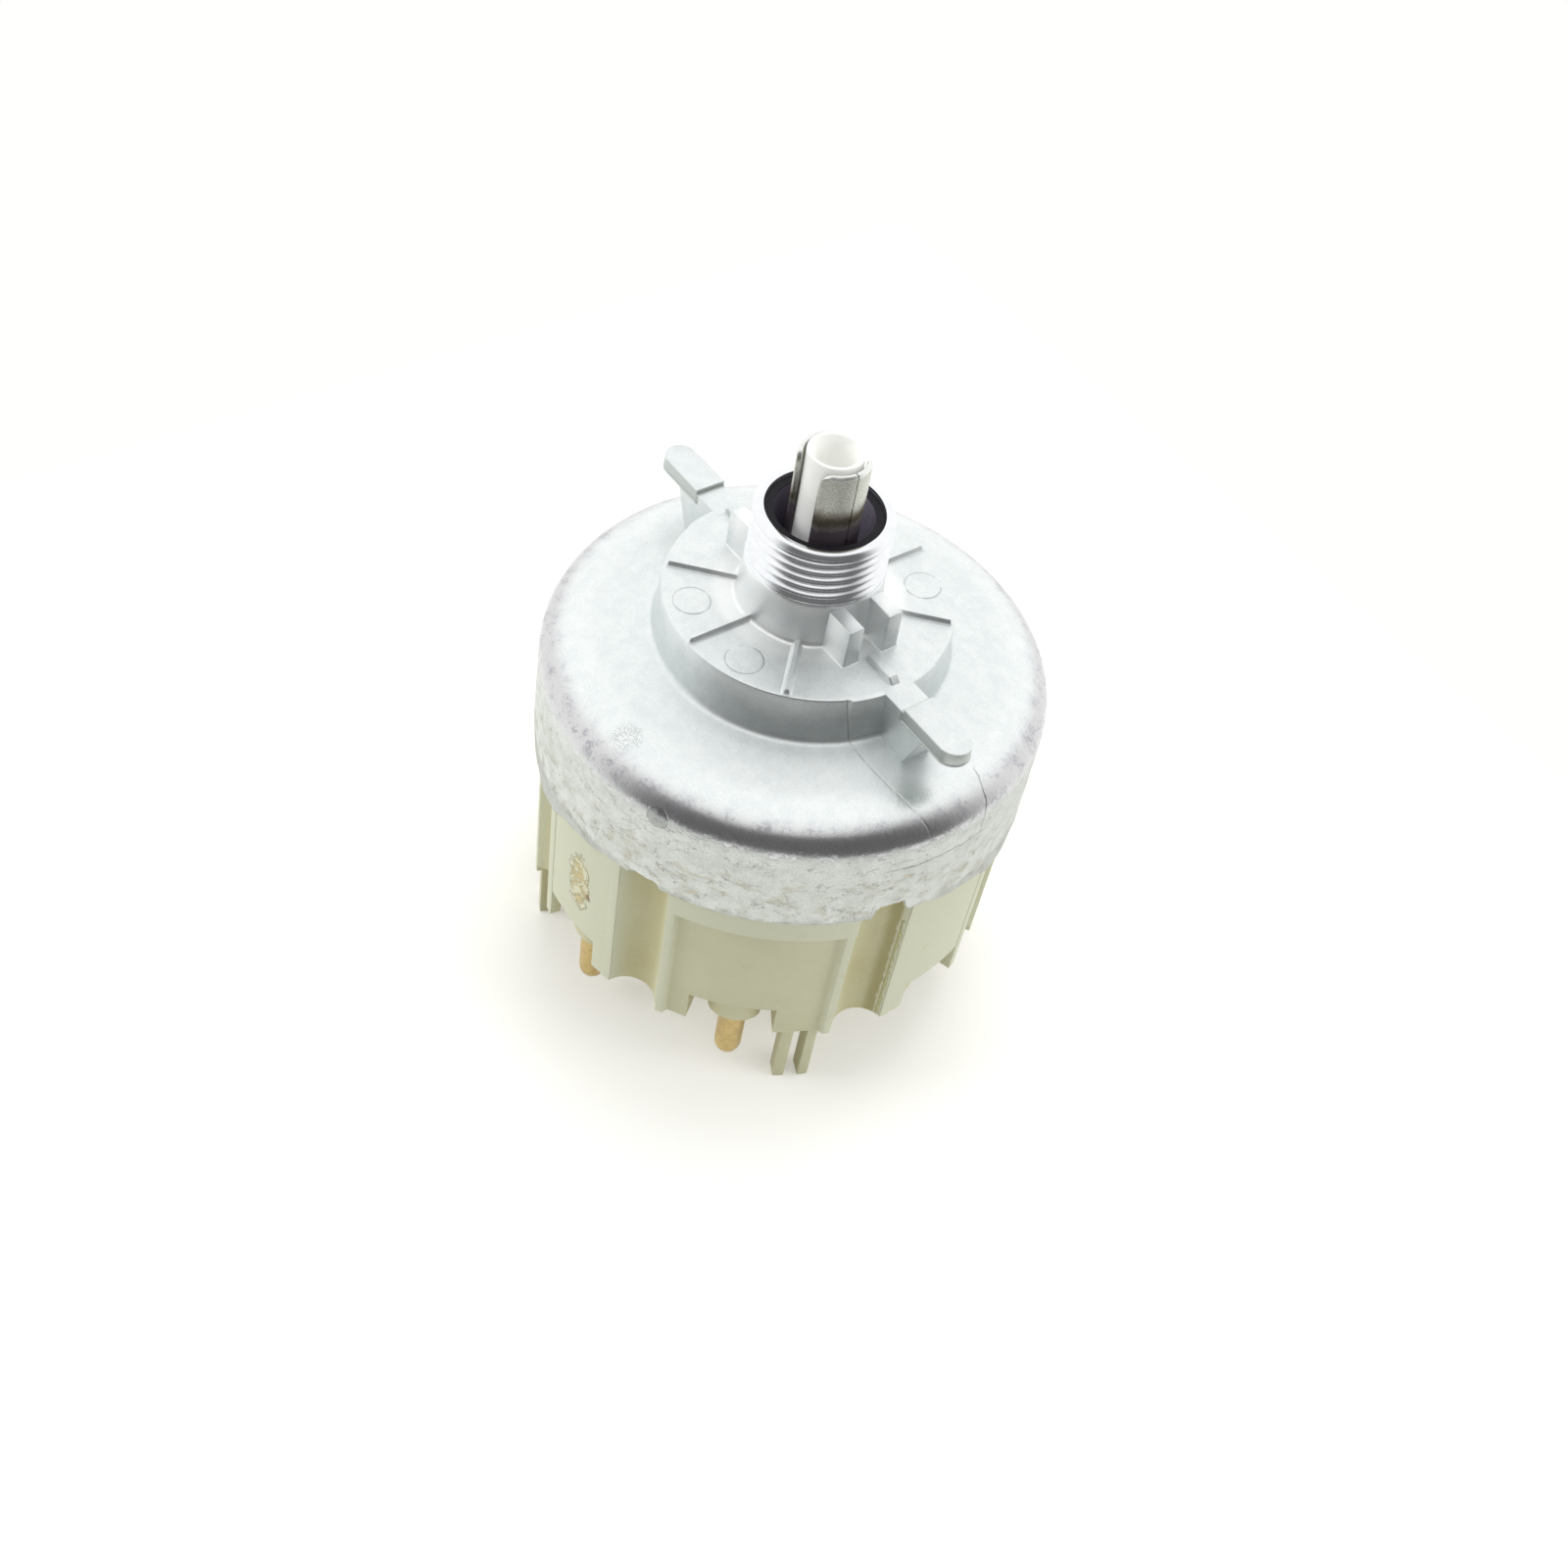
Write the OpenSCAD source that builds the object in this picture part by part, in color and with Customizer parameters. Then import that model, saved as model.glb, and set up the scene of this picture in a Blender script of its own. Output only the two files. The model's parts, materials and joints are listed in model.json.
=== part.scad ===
// Rotary and pull switch for car headlamps, with a threaded neck and a lit knob shaft.
// +Z runs up the shaft. The origin is on the axis, at the feet of the base's legs.
// The two locking arms of the housing lie along X.

/* [Housing] */
// Radius of the skirt at its lower edge
skirt_r = 26.84; // [26.7:0.02:27.2]
// Radius of the skirt where the dome's shoulder meets it
shoulder_r = 26.67; // [26.4:0.01:26.8]
// Height of the shoulder's end above the feet
shoulder_z = 38.3; // [37.5:0.1:39]
// Fall of the dome's top for each millimetre outwards
dome_slope = 0.13; // [0.08:0.01:0.18]
// How square the shoulder is
shoulder_power = 4.27; // [3.5:0.01:5]
// Wall of the casting
cast_wall = 1.7; // [1.5:0.1:1.9]
// Depth of the notches in the skirt's edge over the flutes
notch_h = 1.2; // [0.5:0.1:2]
// Width of those notches
notch_w = 3.8; // [3:0.1:4.5]

/* [Hub and neck] */
// Radius of the hub's wall at the dome
hub_foot_r = 15.42; // [15.2:0.02:15.6]
// Radius of the hub's top edge
hub_r = 14.83; // [14.6:0.01:15.2]
// Height of the hub above the dome
hub_h = 5.2; // [5:0.1:5.6]
// Outer diameter of the neck's thread, M14 x 1
thread_d = 14; // [14:14]
// Length of the threaded stretch
thread_l = 5.8; // [5:0.1:6]
// Radius of the cast neck at the hub
neck_foot_r = 7.4; // [7.2:0.05:7.6]
// Height of the neck above the hub
neck_h = 11.1; // [10.5:0.1:11.5]
// Bore of the neck
neck_bore_d = 11.8; // [11.8:11.8]
// Width of the radial ribs on the hub
rib_w = 0.6; // [0.5:0.1:0.8]
// Height of the radial ribs
rib_h = 0.5; // [0.3:0.1:0.7]

/* [Arms and lugs] */
// Distance of an arm's tip from the axis
arm_reach = 25; // [24:0.1:25.5]
// Width of an arm
arm_w = 3.5; // [3.2:0.1:3.8]
// Distance from the axis to the step on an arm
arm_step_x = 17.7; // [17:0.1:18.5]
// Height of that step
arm_step_h = 0.5; // [0.3:0.1:0.7]
// Thickness of an arm's tip
arm_t = 1.7; // [1.5:0.1:2]
// Height of the upright lugs above the hub
lug_h = 4.5; // [4:0.1:5]
// Distance from the axis to a lug's outer end
lug_reach = 10.1; // [9.8:0.1:10.5]
// Width of a lug
lug_w = 1.85; // [1.6:0.05:2]
// Clear gap between the two lugs of a pair
lug_gap = 2.9; // [2.6:0.1:3.2]

/* [Base] */
// Turn of the base's front panel from the arms
base_turn = -39.8; // [-42:0.1:-38]
// Height of the joint between base and housing
rim_z = 30.5; // [30:0.1:31]
// Height of the floor's underside
floor_z = 14.5; // [14:0.1:15]
// Thickness of the floor
floor_t = 3.1; // [3:0.1:3.3]
// Radius of the plateaus
plateau_r = 26.55; // [26.3:0.05:26.65]
// Radius of the recessed panels
panel_r = 25.5; // [25.4:0.1:25.8]
// Radius of the upright ribs beside the panels
edge_rib_r = 26.2; // [26:0.1:26.4]
// Radius inside the base
base_inner_r = 22.9; // [22.7:0.1:23]
// Radius of the round flutes
flute_r = 3.1; // [2.9:0.1:3.2]
// Distance from the axis to a flute's deepest line
flute_floor_r = 24.4; // [24.3:0.1:24.6]
// Lower edge of the flutes and corner blocks
skirt_low_z = 10.2; // [9.8:0.1:10.6]
// Lower edge of the upright ribs and of the panels beside their windows
rib_low_z = 9.2; // [9:0.1:9.6]
// Lower edge of the panels over their windows
window_top_z = 13.4; // [12.8:0.1:14]
// Thickness of a leg, along the radius
leg_t = 2; // [1.8:0.1:2.3]

/* [Terminals] */
// Diameter of the terminal pins
pin_d = 3; // [2.8:0.1:3]
// Distance of the pins from the axis
pin_circle_r = 23.3; // [23:0.1:23.4]
// Turn of the first pin from the arms
pin_turn = -42.4; // [-44:0.1:-41]
// Height of the pins' tips above the feet
pin_tip_z = 2.5; // [2:0.1:3.5]
// Radius of the bosses round the pins
boss_r = 2.9; // [2.6:0.1:2.9]
// Lower end of the bosses
boss_z = 10.6; // [10.3:0.1:12]
// Thickness of the stamped contact plates
plate_t = 0.6; // [0.5:0.1:0.7]

/* [Shaft] */
// Outer diameter of the split sleeve
sleeve_d = 7.2; // [7.2:7.2]
// Wall of the sleeve
sleeve_t = 0.55; // [0.5:0.05:0.6]
// Height of the sleeve's top above the feet
sleeve_top = 67.9; // [67:0.1:68]
// Arc covered by each finger of the sleeve, in degrees
finger_arc = 121; // [115:1:125]
// Height of the light guide's top above the feet
guide_top = 68.3; // [68.1:0.1:69]
// Outer diameter of the light guide
guide_d = 5.6; // [5.4:0.1:5.7]
// Bore of the light guide
guide_bore_d = 3.8; // [3.4:0.1:4]
// Diameter of the light guide's funnel mouth
guide_mouth_d = 4.6; // [4.4:0.1:4.8]
// Pull of the shaft
pull = 8; // [8:8]

/* [Detents] */
// Turn between two positions of the switch
step_turn = 35; // [30:1:35]
// Depth of a detent notch past the ring's bore
notch_depth = 0.55; // [0.5:0.05:0.6]
// Diameter of the detent balls
ball_d = 3; // [3:3]

/* [Hidden] */
$fn = 72;
slack = 0.05;      // running clearance of a shaft in its bore
over = 0.5;        // overshoot of a cutting shape
quarter = [0, 90, 180, 270];

dome_z = 45;
hub_z = dome_z + hub_h;
mouth_z = hub_z + neck_h;
thread_chamfer = 0.5;
bore_r = neck_bore_d / 2;
pocket_r = 13.2;
pocket_top = hub_z - 1.8;
skirt_inner_r = skirt_r - cast_wall;
washer_t = 0.3;

floor_top = floor_z + floor_t;
flute_turn = 27.55;            // flute centre from the front panel's middle
side_flute_turn = 66.1;        // flute centre beside a side panel
flute_half = 6.15;             // half the arc that a flute covers
panel_edge = 2.7;              // arc of an upright rib
corner_arc = 6.3;              // arc of the corner block beside a front flute
side_corner_arc = 1.1;         // the same beside a side flute
lip_h = 2.9;
lip_r = 26.6;
spigot_h = 5.5;
tower_r = 4.1;
tower_bore_r = 3;
tower_top = 28.8;
holder_flange_r = 3.9;
holder_flange_t = 1.5;
holder_r = 2.95;

pin_shank_r = pin_d / 2 - 0.1;  // pressed into its boss
short_pins = [1, 5];           // their tips end higher, behind the blocks
short_tip_z = 6;
tail_r = 0.7;                  // thin end of a pin, through the floor
pin_shoulder_z = 16;
rivet_r = 1.2;
rivet_t = 0.4;
eye_r = 1.2;
pin_groove_r = 1.3;            // upright groove in the base's wall over a pin
plate_z = floor_top - plate_t;
plate_r = [10, 15.2];          // inner and outer radius of a plate's arc
plate_half = 18;
tail_w = 2.2;
feed_pin = 0;                  // pin whose plate also feeds the lamp
lamp_pin = 4;
fog_pins = [3, 5];
plate_pins = [6, 7, 0, 1, 2];
blade_r = 7.25;
blade_t = 0.4;
blade_top = 28.4;
pad_z = 21;

rotor_head_r = 10.9;
rotor_head = [44.2, pocket_top - washer_t - slack];
stem_r = bore_r - slack;
stem_inner_r = 5;
stem_top = mouth_z - 0.4;
web = [43.3, 46.5];
tube_r = [8, 10];
disc_r = 17;
disc = [19.6, 25];
ball_z = 46.15;
ring_bore_r = 11.5;
ring_low = 44.4;
ball_hole_r = ball_d / 2 + slack;
ball_x = ring_bore_r - slack - ball_d / 2;
ball_hole_floor = 6.2;
bridge_x = 12.6;
bridge_pocket_r = 2.25;
bridge_pocket_h = 4;
bridge_boss_r = 2.1;
bridge_boss_top = 20.8;
stop_half = 6;
stop_reach = 19;
stop_turn = 79;

collar = [31, 35];
key_w = 2;
key_reach = 8.8;
wire_z = 34;
wire_h = 0.7;
guide_low = 29;
clip = [30.4, 30.9];
slider = [18.4, 33.2];
slider_ring_r = [4.2, 6.9];
slider_wall_r = [5.3, 6.1];
slider_lip = 0.5;
bridge_ring_t = 0.5;

// ---- Shared shapes ----

function polar(r, a) = [r * cos(a), r * sin(a)];
function pin_angle(k) = pin_turn + 45 * k;

// A pie slice, for picking an arc out of a ring
module wedge(from, to) {
    far = 60;
    polygon([[0, 0], polar(far, from), polar(far, (from + to) / 2), polar(far, to)]);
}

// An arc of a flat ring
module arc(inner, outer, from, to) {
    intersection() {
        difference() {
            circle(outer);
            circle(inner);
        }
        wedge(from, to);
    }
}

// A round tube between two heights
module tube(outer, inner, low, high) {
    translate([0, 0, low])
        linear_extrude(high - low)
            difference() {
                circle(outer);
                circle(inner);
            }
}

// A solid disc between two heights
module post(r, low, high) {
    translate([0, 0, low]) cylinder(r = r, h = high - low);
}

// A flat shape raised between two heights
module raise(low, high) {
    translate([0, 0, low]) linear_extrude(high - low) children();
}

// A coil spring standing on z = 0, swept with six sides
module coil(mean_r, wire_r, length, turns) {
    sides = 6;
    per_turn = 14;
    rings = turns * per_turn;
    rise = (length - 2 * wire_r) / rings;
    points = [for (i = [0:rings], j = [0:sides - 1])
        let (a = 360 * i / per_turn, b = 360 * j / sides, r = mean_r + wire_r * cos(b))
            [r * cos(a), r * sin(a), wire_r + i * rise + wire_r * sin(b)]];
    sleeve = [for (i = [0:rings - 1], j = [0:sides - 1])
        let (k = (j + 1) % sides)
            [i * sides + j, (i + 1) * sides + j, (i + 1) * sides + k, i * sides + k]];
    first = [for (j = [0:sides - 1]) j];
    last = [for (j = [0:sides - 1]) rings * sides + sides - 1 - j];
    polyhedron(points, concat([first], sleeve, [last]));
}

// ---- Housing ----

// Dome and shoulder from the skirt up to the hub: a sloping top that rounds into the skirt
function dome_curve(foot_r, foot_z, edge_r, edge_z, steps = 18) =
    [for (i = [0:steps])
        let (t = 90 * i / steps,
             r = foot_r + (edge_r - foot_r) * pow(cos(t), 2 / shoulder_power),
             rise = foot_z - edge_z - dome_slope * (r - foot_r))
            [r, edge_z + rise * pow(sin(t), 2 / shoulder_power)]];

module housing_outside() {
    thread_low = mouth_z - thread_l;
    rotate_extrude()
        polygon(concat(
            [[0, rim_z], [skirt_r, rim_z]],
            dome_curve(hub_foot_r, dome_z, shoulder_r, shoulder_z),
            [[hub_r, hub_z],
             [neck_foot_r, hub_z],
             [thread_d / 2, thread_low],
             [thread_d / 2, mouth_z - thread_chamfer],
             [thread_d / 2 - thread_chamfer, mouth_z],
             [0, mouth_z]]));
}

module housing_inside() {
    roof = dome_z - cast_wall;
    rotate_extrude()
        polygon(concat(
            [[0, rim_z - over], [skirt_inner_r, rim_z - over]],
            dome_curve(pocket_r, roof, skirt_inner_r, shoulder_z - 1),
            [[pocket_r, pocket_top],
             [bore_r, pocket_top],
             [bore_r, mouth_z + over],
             [0, mouth_z + over]]));
}

module hub_ribs() {
    for (a = [45, 90, 135, 225, 270, 315])
        rotate(a)
            translate([neck_foot_r - over, -rib_w / 2, hub_z - over])
                cube([hub_r - neck_foot_r + over - 0.1, rib_w, rib_h + over]);
    bar_w = 0.8;
    for (a = [0, 180])
        rotate(a)
            translate([lug_reach, -bar_w / 2, hub_z - over])
                cube([arm_step_x - lug_reach, bar_w, rib_h + over]);
}

module lugs() {
    lug_root = 6.6;
    for (along = [0, 180], side = [-1, 1])
        rotate(along)
            translate([lug_root, side * (lug_gap + lug_w) / 2 - lug_w / 2, hub_z - over])
                cube([lug_reach - lug_root, lug_w, lug_h + over]);
}

// A flat arm with a round tip, on a web that stands on the dome
module arm() {
    root = hub_r - 1;
    tip_x = arm_reach - arm_w / 2;
    tip_top = hub_z + arm_step_h;
    web_low = 18.9;
    web_high = 21;
    raise(tip_top - arm_t, hub_z) translate([root, -arm_w / 2]) square([tip_x - root, arm_w]);
    raise(tip_top - arm_t, tip_top) {
        translate([arm_step_x, -arm_w / 2]) square([tip_x - arm_step_x, arm_w]);
        translate([tip_x, 0]) circle(arm_w / 2);
    }
    rotate([90, 0, 0])
        raise(-arm_w / 2, arm_w / 2)
            polygon([[root, dome_z - 1], [web_low, dome_z - 1], [web_high, tip_top - arm_t],
                     [web_high, hub_z], [root, hub_z]]);
}

module skirt_notches() {
    for (half_turn = [0, 180], side = [-1, 1], from_front = [flute_turn, side_flute_turn])
        rotate(base_turn + half_turn + side * from_front)
            translate([skirt_inner_r - 1, -notch_w / 2, rim_z - over])
                cube([4, notch_w, notch_h + over]);
}

module housing() {
    color("silver")
        difference() {
            union() {
                housing_outside();
                hub_ribs();
                lugs();
                arm();
                rotate(180) arm();
            }
            housing_inside();
            skirt_notches();
            rotate([0, 0, 90]) ring_tabs(slack);
        }
}

// ---- Detent ring and thrust washer ----

// Two keys that stop the ring from turning in the hub
module ring_tabs(grow) {
    tab_w = 2.4 + 2 * grow;
    reach = pocket_r + 0.6;
    raise(ring_low - grow, pocket_top)
        translate([-reach, -tab_w / 2])
            square([2 * reach, tab_w]);
}

module detent_ring() {
    ball_r = ball_d / 2;
    groove_r = ball_r + 0.1;
    color("dimgray")
        difference() {
            union() {
                post(pocket_r, ring_low, pocket_top);
                rotate([0, 0, 90]) ring_tabs(0);
            }
            post(ring_bore_r, ring_low - over, pocket_top + over);
            for (ball = [0, 180], k = [-2:2])
                rotate(ball + k * step_turn)
                    translate([ring_bore_r + notch_depth - groove_r, 0, ring_low - over])
                        cylinder(r = groove_r, h = pocket_top - ring_low + 2 * over);
        }
}

module thrust_washer() {
    color("goldenrod") tube(rotor_head_r - 0.4, bore_r + 0.4, pocket_top - washer_t, pocket_top);
}

// ---- Base ----

// Copies children onto both sides of the two long panels and the two short ones
module each_flute() {
    for (half_turn = [0, 180], side = [0, 1])
        rotate(half_turn)
            mirror([0, side, 0])
                children();
}

// Outer line of the base below the rim
module base_outline() {
    difference() {
        union() {
            circle(panel_r);
            each_flute() {
                arc(20, plateau_r, flute_turn + flute_half / 2, side_flute_turn - flute_half / 2);
                arc(20, edge_rib_r, flute_turn - flute_half - panel_edge, flute_turn);
                arc(20, edge_rib_r, side_flute_turn, side_flute_turn + flute_half + panel_edge);
            }
        }
        flutes();
    }
}

module flutes() {
    each_flute()
        for (a = [flute_turn, side_flute_turn])
            rotate(a)
                translate([flute_floor_r + flute_r, 0])
                    circle(flute_r);
}

// The base's wall where it goes on below the floor, kept only inside its children
module lower_wall() {
    intersection() {
        difference() {
            base_outline();
            circle(base_inner_r);
        }
        children();
    }
}

// Lip over a panel, just under the housing
module panel_lips() {
    long_half = flute_turn - flute_half;
    short_half = 90 - side_flute_turn - flute_half;
    for (half_turn = [0, 180])
        rotate(half_turn) {
            arc(panel_r - 1, lip_r, -long_half, long_half);
            rotate(90) arc(panel_r - 1, lip_r, -short_half, short_half);
        }
}

// A slotted leg: two posts that hang from the block beside a panel's middle
module leg(from) {
    leg_arc = 9.1;
    slot = [3, 6.4];
    inset = 0.15;
    root_h = 1;
    raise(0, skirt_low_z + root_h)
        difference() {
            arc(panel_r - inset - leg_t, panel_r - inset, from, from + leg_arc);
            wedge(from + slot[0], from + slot[1]);
        }
}

// Everything of the base that hangs below its floor: the walls of the flutes run on into blocks
module base_skirts() {
    front_window = [-13.8, 7.6];
    side_window = [-12.8, 5.8];
    leg_starts = [10.2, 96.4];
    long_half = flute_turn - flute_half;
    short_half = 90 - side_flute_turn - flute_half;
    front_end = flute_turn + flute_half + corner_arc;
    side_end = side_flute_turn - flute_half - side_corner_arc;
    raise(skirt_low_z, floor_z)
        lower_wall()
            for (half_turn = [0, 180])
                rotate(half_turn) {
                    wedge(-front_end, front_window[0]);
                    wedge(front_window[1], front_end);
                    wedge(side_end, 90 + side_window[0]);
                    wedge(90 + side_window[1], 180 - side_end);
                }
    raise(rib_low_z, skirt_low_z)
        lower_wall()
            each_flute() {
                wedge(flute_turn - flute_half - panel_edge, flute_turn - flute_half);
                wedge(side_flute_turn + flute_half, side_flute_turn + flute_half + panel_edge);
            }
    raise(rib_low_z, skirt_low_z)
        lower_wall()
            for (half_turn = [0, 180])
                rotate(half_turn) {
                    wedge(-long_half, front_window[0]);
                    wedge(front_window[1], long_half);
                    wedge(90 - short_half, 90 + side_window[0]);
                    wedge(90 + side_window[1], 90 + short_half);
                }
    raise(window_top_z, floor_z)
        lower_wall()
            for (half_turn = [0, 180])
                rotate(half_turn) {
                    wedge(front_window[0], front_window[1]);
                    wedge(90 + side_window[0], 90 + side_window[1]);
                }
    for (half_turn = [0, 180], from = leg_starts)
        rotate(half_turn)
            leg(from);
}

// Guide tower round the lamp, with two grooves for the fog slider's keys
module tower() {
    difference() {
        post(tower_r, floor_z + 1, tower_top);
        post(tower_bore_r, floor_z, tower_top + over);
        tower_grooves();
    }
}

module tower_grooves() {
    groove_w = 1;
    for (a = [0, 180])
        rotate(a)
            translate([tower_r - 0.5, -groove_w / 2, floor_top])
                cube([2, groove_w, tower_top - floor_top + over]);
}

// Round collar that plugs into the housing; the flutes run up behind the skirt's notches
module spigot() {
    spigot_r = skirt_inner_r - slack;
    raise(rim_z, rim_z + notch_h)
        difference() {
            circle(spigot_r);
            flutes();
        }
    raise(rim_z + notch_h, rim_z + spigot_h) circle(spigot_r);
}

// A boss under the floor round every pin, cut off just inside the panels' faces
module bosses() {
    inset = 0.1;
    intersection() {
        each_pin() post(boss_r, boss_z, floor_z + over);
        post(panel_r - inset, boss_z - over, floor_top);
    }
}

// The hollow above the floor, with an upright groove over each pin
module base_hollow() {
    raise(floor_top, rim_z + spigot_h + over) {
        circle(base_inner_r);
        for (k = [0:7]) translate(polar(pin_circle_r, pin_angle(k))) circle(pin_groove_r);
    }
}

module base_shell() {
    difference() {
        union() {
            rotate(base_turn) {
                raise(floor_z, rim_z) base_outline();
                raise(rim_z - lip_h, rim_z) panel_lips();
                spigot();
                base_skirts();
            }
            bosses();
        }
        base_hollow();
    }
}

module contact_base() {
    color("tan")
        difference() {
            union() {
                base_shell();
                tower();
                stop_ribs();
            }
            each_pin() {
                post(pin_shank_r, skirt_low_z - over, pin_shoulder_z);
                post(tail_r, boss_z, floor_top + over);
            }
            raise(plate_z, floor_top + over) {
                for (k = plate_pins) plate_outline(k);
                for (k = fog_pins) strip_outline(k, blade_r);
                strip_outline(lamp_pin, holder_r);
            }
            post(holder_flange_r, floor_z - over, floor_z + holder_flange_t);
            post(tower_bore_r, floor_z, floor_top + over);
        }
}

// Copies children to the place of every terminal pin
module each_pin() {
    for (k = [0:7])
        rotate(pin_angle(k))
            translate([pin_circle_r, 0, 0])
                children();
}

// Ribs inside the base that end the rotor's turn
module stop_ribs() {
    rib_half = 2;
    for (side = [-1, 1])
        raise(floor_z + 1, disc[1])
            arc(stop_reach - 0.7, base_inner_r + 1, 90 + side * stop_turn - rib_half,
                90 + side * stop_turn + rib_half);
}

// ---- Terminals and contacts ----

module terminal_pin(k) {
    pin_r = pin_d / 2;
    tip_z = len(search(k, short_pins)) > 0 ? short_tip_z : pin_tip_z;
    color("gold")
        rotate(pin_angle(k))
            translate([pin_circle_r, 0, 0]) {
                translate([0, 0, tip_z + pin_r]) sphere(pin_r);
                post(pin_r, tip_z + pin_r, skirt_low_z);
                post(pin_shank_r, skirt_low_z - over, pin_shoulder_z);
                post(tail_r, pin_shoulder_z - over, floor_top + rivet_t);
                post(rivet_r, floor_top, floor_top + rivet_t);
            }
}

// Radial strip from a pin's eye to an inner radius
module strip_outline(k, inner) {
    rotate(pin_angle(k)) {
        translate([inner, -tail_w / 2]) square([pin_circle_r - inner, tail_w]);
        translate([pin_circle_r, 0]) circle(eye_r);
    }
}

// Arc that the bridges slide on, with its strip; one of them runs in to the lamp
module plate_outline(k) {
    arc(plate_r[0], plate_r[1], pin_angle(k) - plate_half, pin_angle(k) + plate_half);
    strip_outline(k, k == feed_pin ? holder_r : plate_r[1] - 1);
}

module riveted(k) {
    difference() {
        raise(plate_z, floor_top) children();
        rotate(pin_angle(k))
            translate([pin_circle_r, 0, 0])
                post(tail_r, plate_z - over, floor_top + over);
    }
}

module contact_plate(k) {
    color("peru") riveted(k) plate_outline(k);
}

// A strip that turns up into a blade, with a pad that the fog bridge reaches when pulled
module fog_contact(k) {
    pad_x = slider_ring_r[1] + 0.1;
    color("peru") {
        riveted(k) strip_outline(k, blade_r);
        rotate(pin_angle(k)) {
            translate([blade_r, -tail_w / 2, plate_z]) cube([blade_t, tail_w, blade_top - plate_z]);
            translate([pad_x, -tail_w / 4, pad_z])
                cube([blade_r + blade_t / 2 - pad_x, tail_w / 2, blade_top - pad_z]);
        }
    }
}

module bulb_contact() {
    color("peru") riveted(lamp_pin) strip_outline(lamp_pin, holder_r);
}

// ---- Lamp ----

module bulb_holder() {
    socket_r = 1.65;
    seat_z = 16.5;
    top = 19.8;
    slot_w = 1;
    color("black")
        difference() {
            union() {
                post(holder_flange_r - slack, floor_z, floor_z + holder_flange_t);
                post(holder_r, floor_z, top);
            }
            post(socket_r, seat_z, top + over);
            translate([-holder_flange_r + 1, -slot_w / 2, floor_z - over])
                cube([2 * holder_flange_r - 2, slot_w, over + 0.8]);
        }
}

module bulb() {
    glass_r = 2.5;
    stem = [1.65, 16.5];
    shoulder = 20.6;
    top = 28;
    color("white")
        rotate_extrude()
            polygon(concat(
                [[0, stem[1]], [stem[0], stem[1]], [stem[0], shoulder - 0.7], [glass_r, shoulder]],
                [for (t = [0:10:90]) [glass_r * cos(t), top - glass_r + glass_r * sin(t)]]));
}

// ---- Rotor and its detents ----

module rotor_body() {
    rotate_extrude()
        polygon([[stem_inner_r, web[1]], [stem_inner_r, stem_top], [stem_r, stem_top],
                 [stem_r, rotor_head[1]], [rotor_head_r, rotor_head[1]],
                 [rotor_head_r, rotor_head[0]], [tube_r[1], rotor_head[0]], [tube_r[1], disc[1]],
                 [disc_r, disc[1]], [disc_r, disc[0]], [tube_r[0], disc[0]], [tube_r[0], web[0]],
                 [sleeve_d / 2 + slack, web[0]], [sleeve_d / 2 + slack, web[1]]]);
}

module rotor() {
    click_h = 1;
    color("#1c1c1e")
        difference() {
            union() {
                rotor_body();
                raise(disc[0], disc[1] - 1)
                    arc(disc_r - 1, stop_reach, 90 - stop_half, 90 + stop_half);
            }
            for (a = [0, 180])
                rotate([0, 90, a])
                    translate([-ball_z, 0, ball_hole_floor])
                        cylinder(r = ball_hole_r, h = rotor_head_r);
            for (k = [0:2])
                rotate(90 + 120 * k)
                    translate([bridge_x, 0, 0])
                        post(bridge_pocket_r, disc[0] - over, disc[0] + bridge_pocket_h);
            for (a = [0, 180])
                rotate(a)
                    translate([0, -key_w / 2 - slack, disc[0] - over])
                        cube([key_reach, key_w + 2 * slack, web[0] - disc[0] + over]);
            for (click = [0, pull / 2, pull])
                post(tube_r[0] + 0.3, wire_z + click - click_h / 2, wire_z + click + click_h / 2);
        }
}

module detent_ball(side) {
    color("lightsteelblue") translate([side * ball_x, 0, ball_z]) sphere(ball_d / 2);
}

module detent_spring(side) {
    color("gray")
        translate([side * ball_hole_floor, 0, ball_z])
            rotate([0, side * 90, 0])
                coil(1.1, 0.2, ball_x - ball_d / 2 - ball_hole_floor, 3.5);
}

// ---- Contact bridges ----

module contact_bridge(k) {
    width = 3.2;
    half_arc = 20;
    foot_turn = 16;
    foot_r = 1;
    strip = [18.2, 19];
    color("goldenrod")
        rotate(90 + 120 * (k - 1)) {
            raise(strip[0], strip[1])
                arc(bridge_x - width / 2, bridge_x + width / 2, -half_arc, half_arc);
            translate([bridge_x, 0, 0]) post(bridge_boss_r, strip[0], bridge_boss_top);
            for (side = [-1, 1])
                rotate(side * foot_turn)
                    translate([bridge_x, 0, floor_top + 0.02])
                        cylinder(r1 = foot_r * 0.7, r2 = foot_r, h = strip[0] - floor_top);
        }
}

module bridge_spring(k) {
    color("gray")
        rotate(90 + 120 * (k - 1))
            translate([bridge_x, 0, bridge_boss_top])
                coil(1.6, 0.25, disc[0] + bridge_pocket_h - bridge_boss_top, 3.5);
}

// ---- Shaft ----

// The area a finger may fill seen from the side, with rounded upper corners
module finger_face() {
    corner_r = 1.2;
    half = sleeve_d / 2 * sin(finger_arc / 2);
    square([2 * half + 1, 2 * (sleeve_top - corner_r)], center = true);
    translate([-half + corner_r, 0]) square([2 * (half - corner_r), sleeve_top]);
    for (side = [-1, 1])
        translate([side * (half - corner_r), sleeve_top - corner_r]) circle(corner_r);
}

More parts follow.
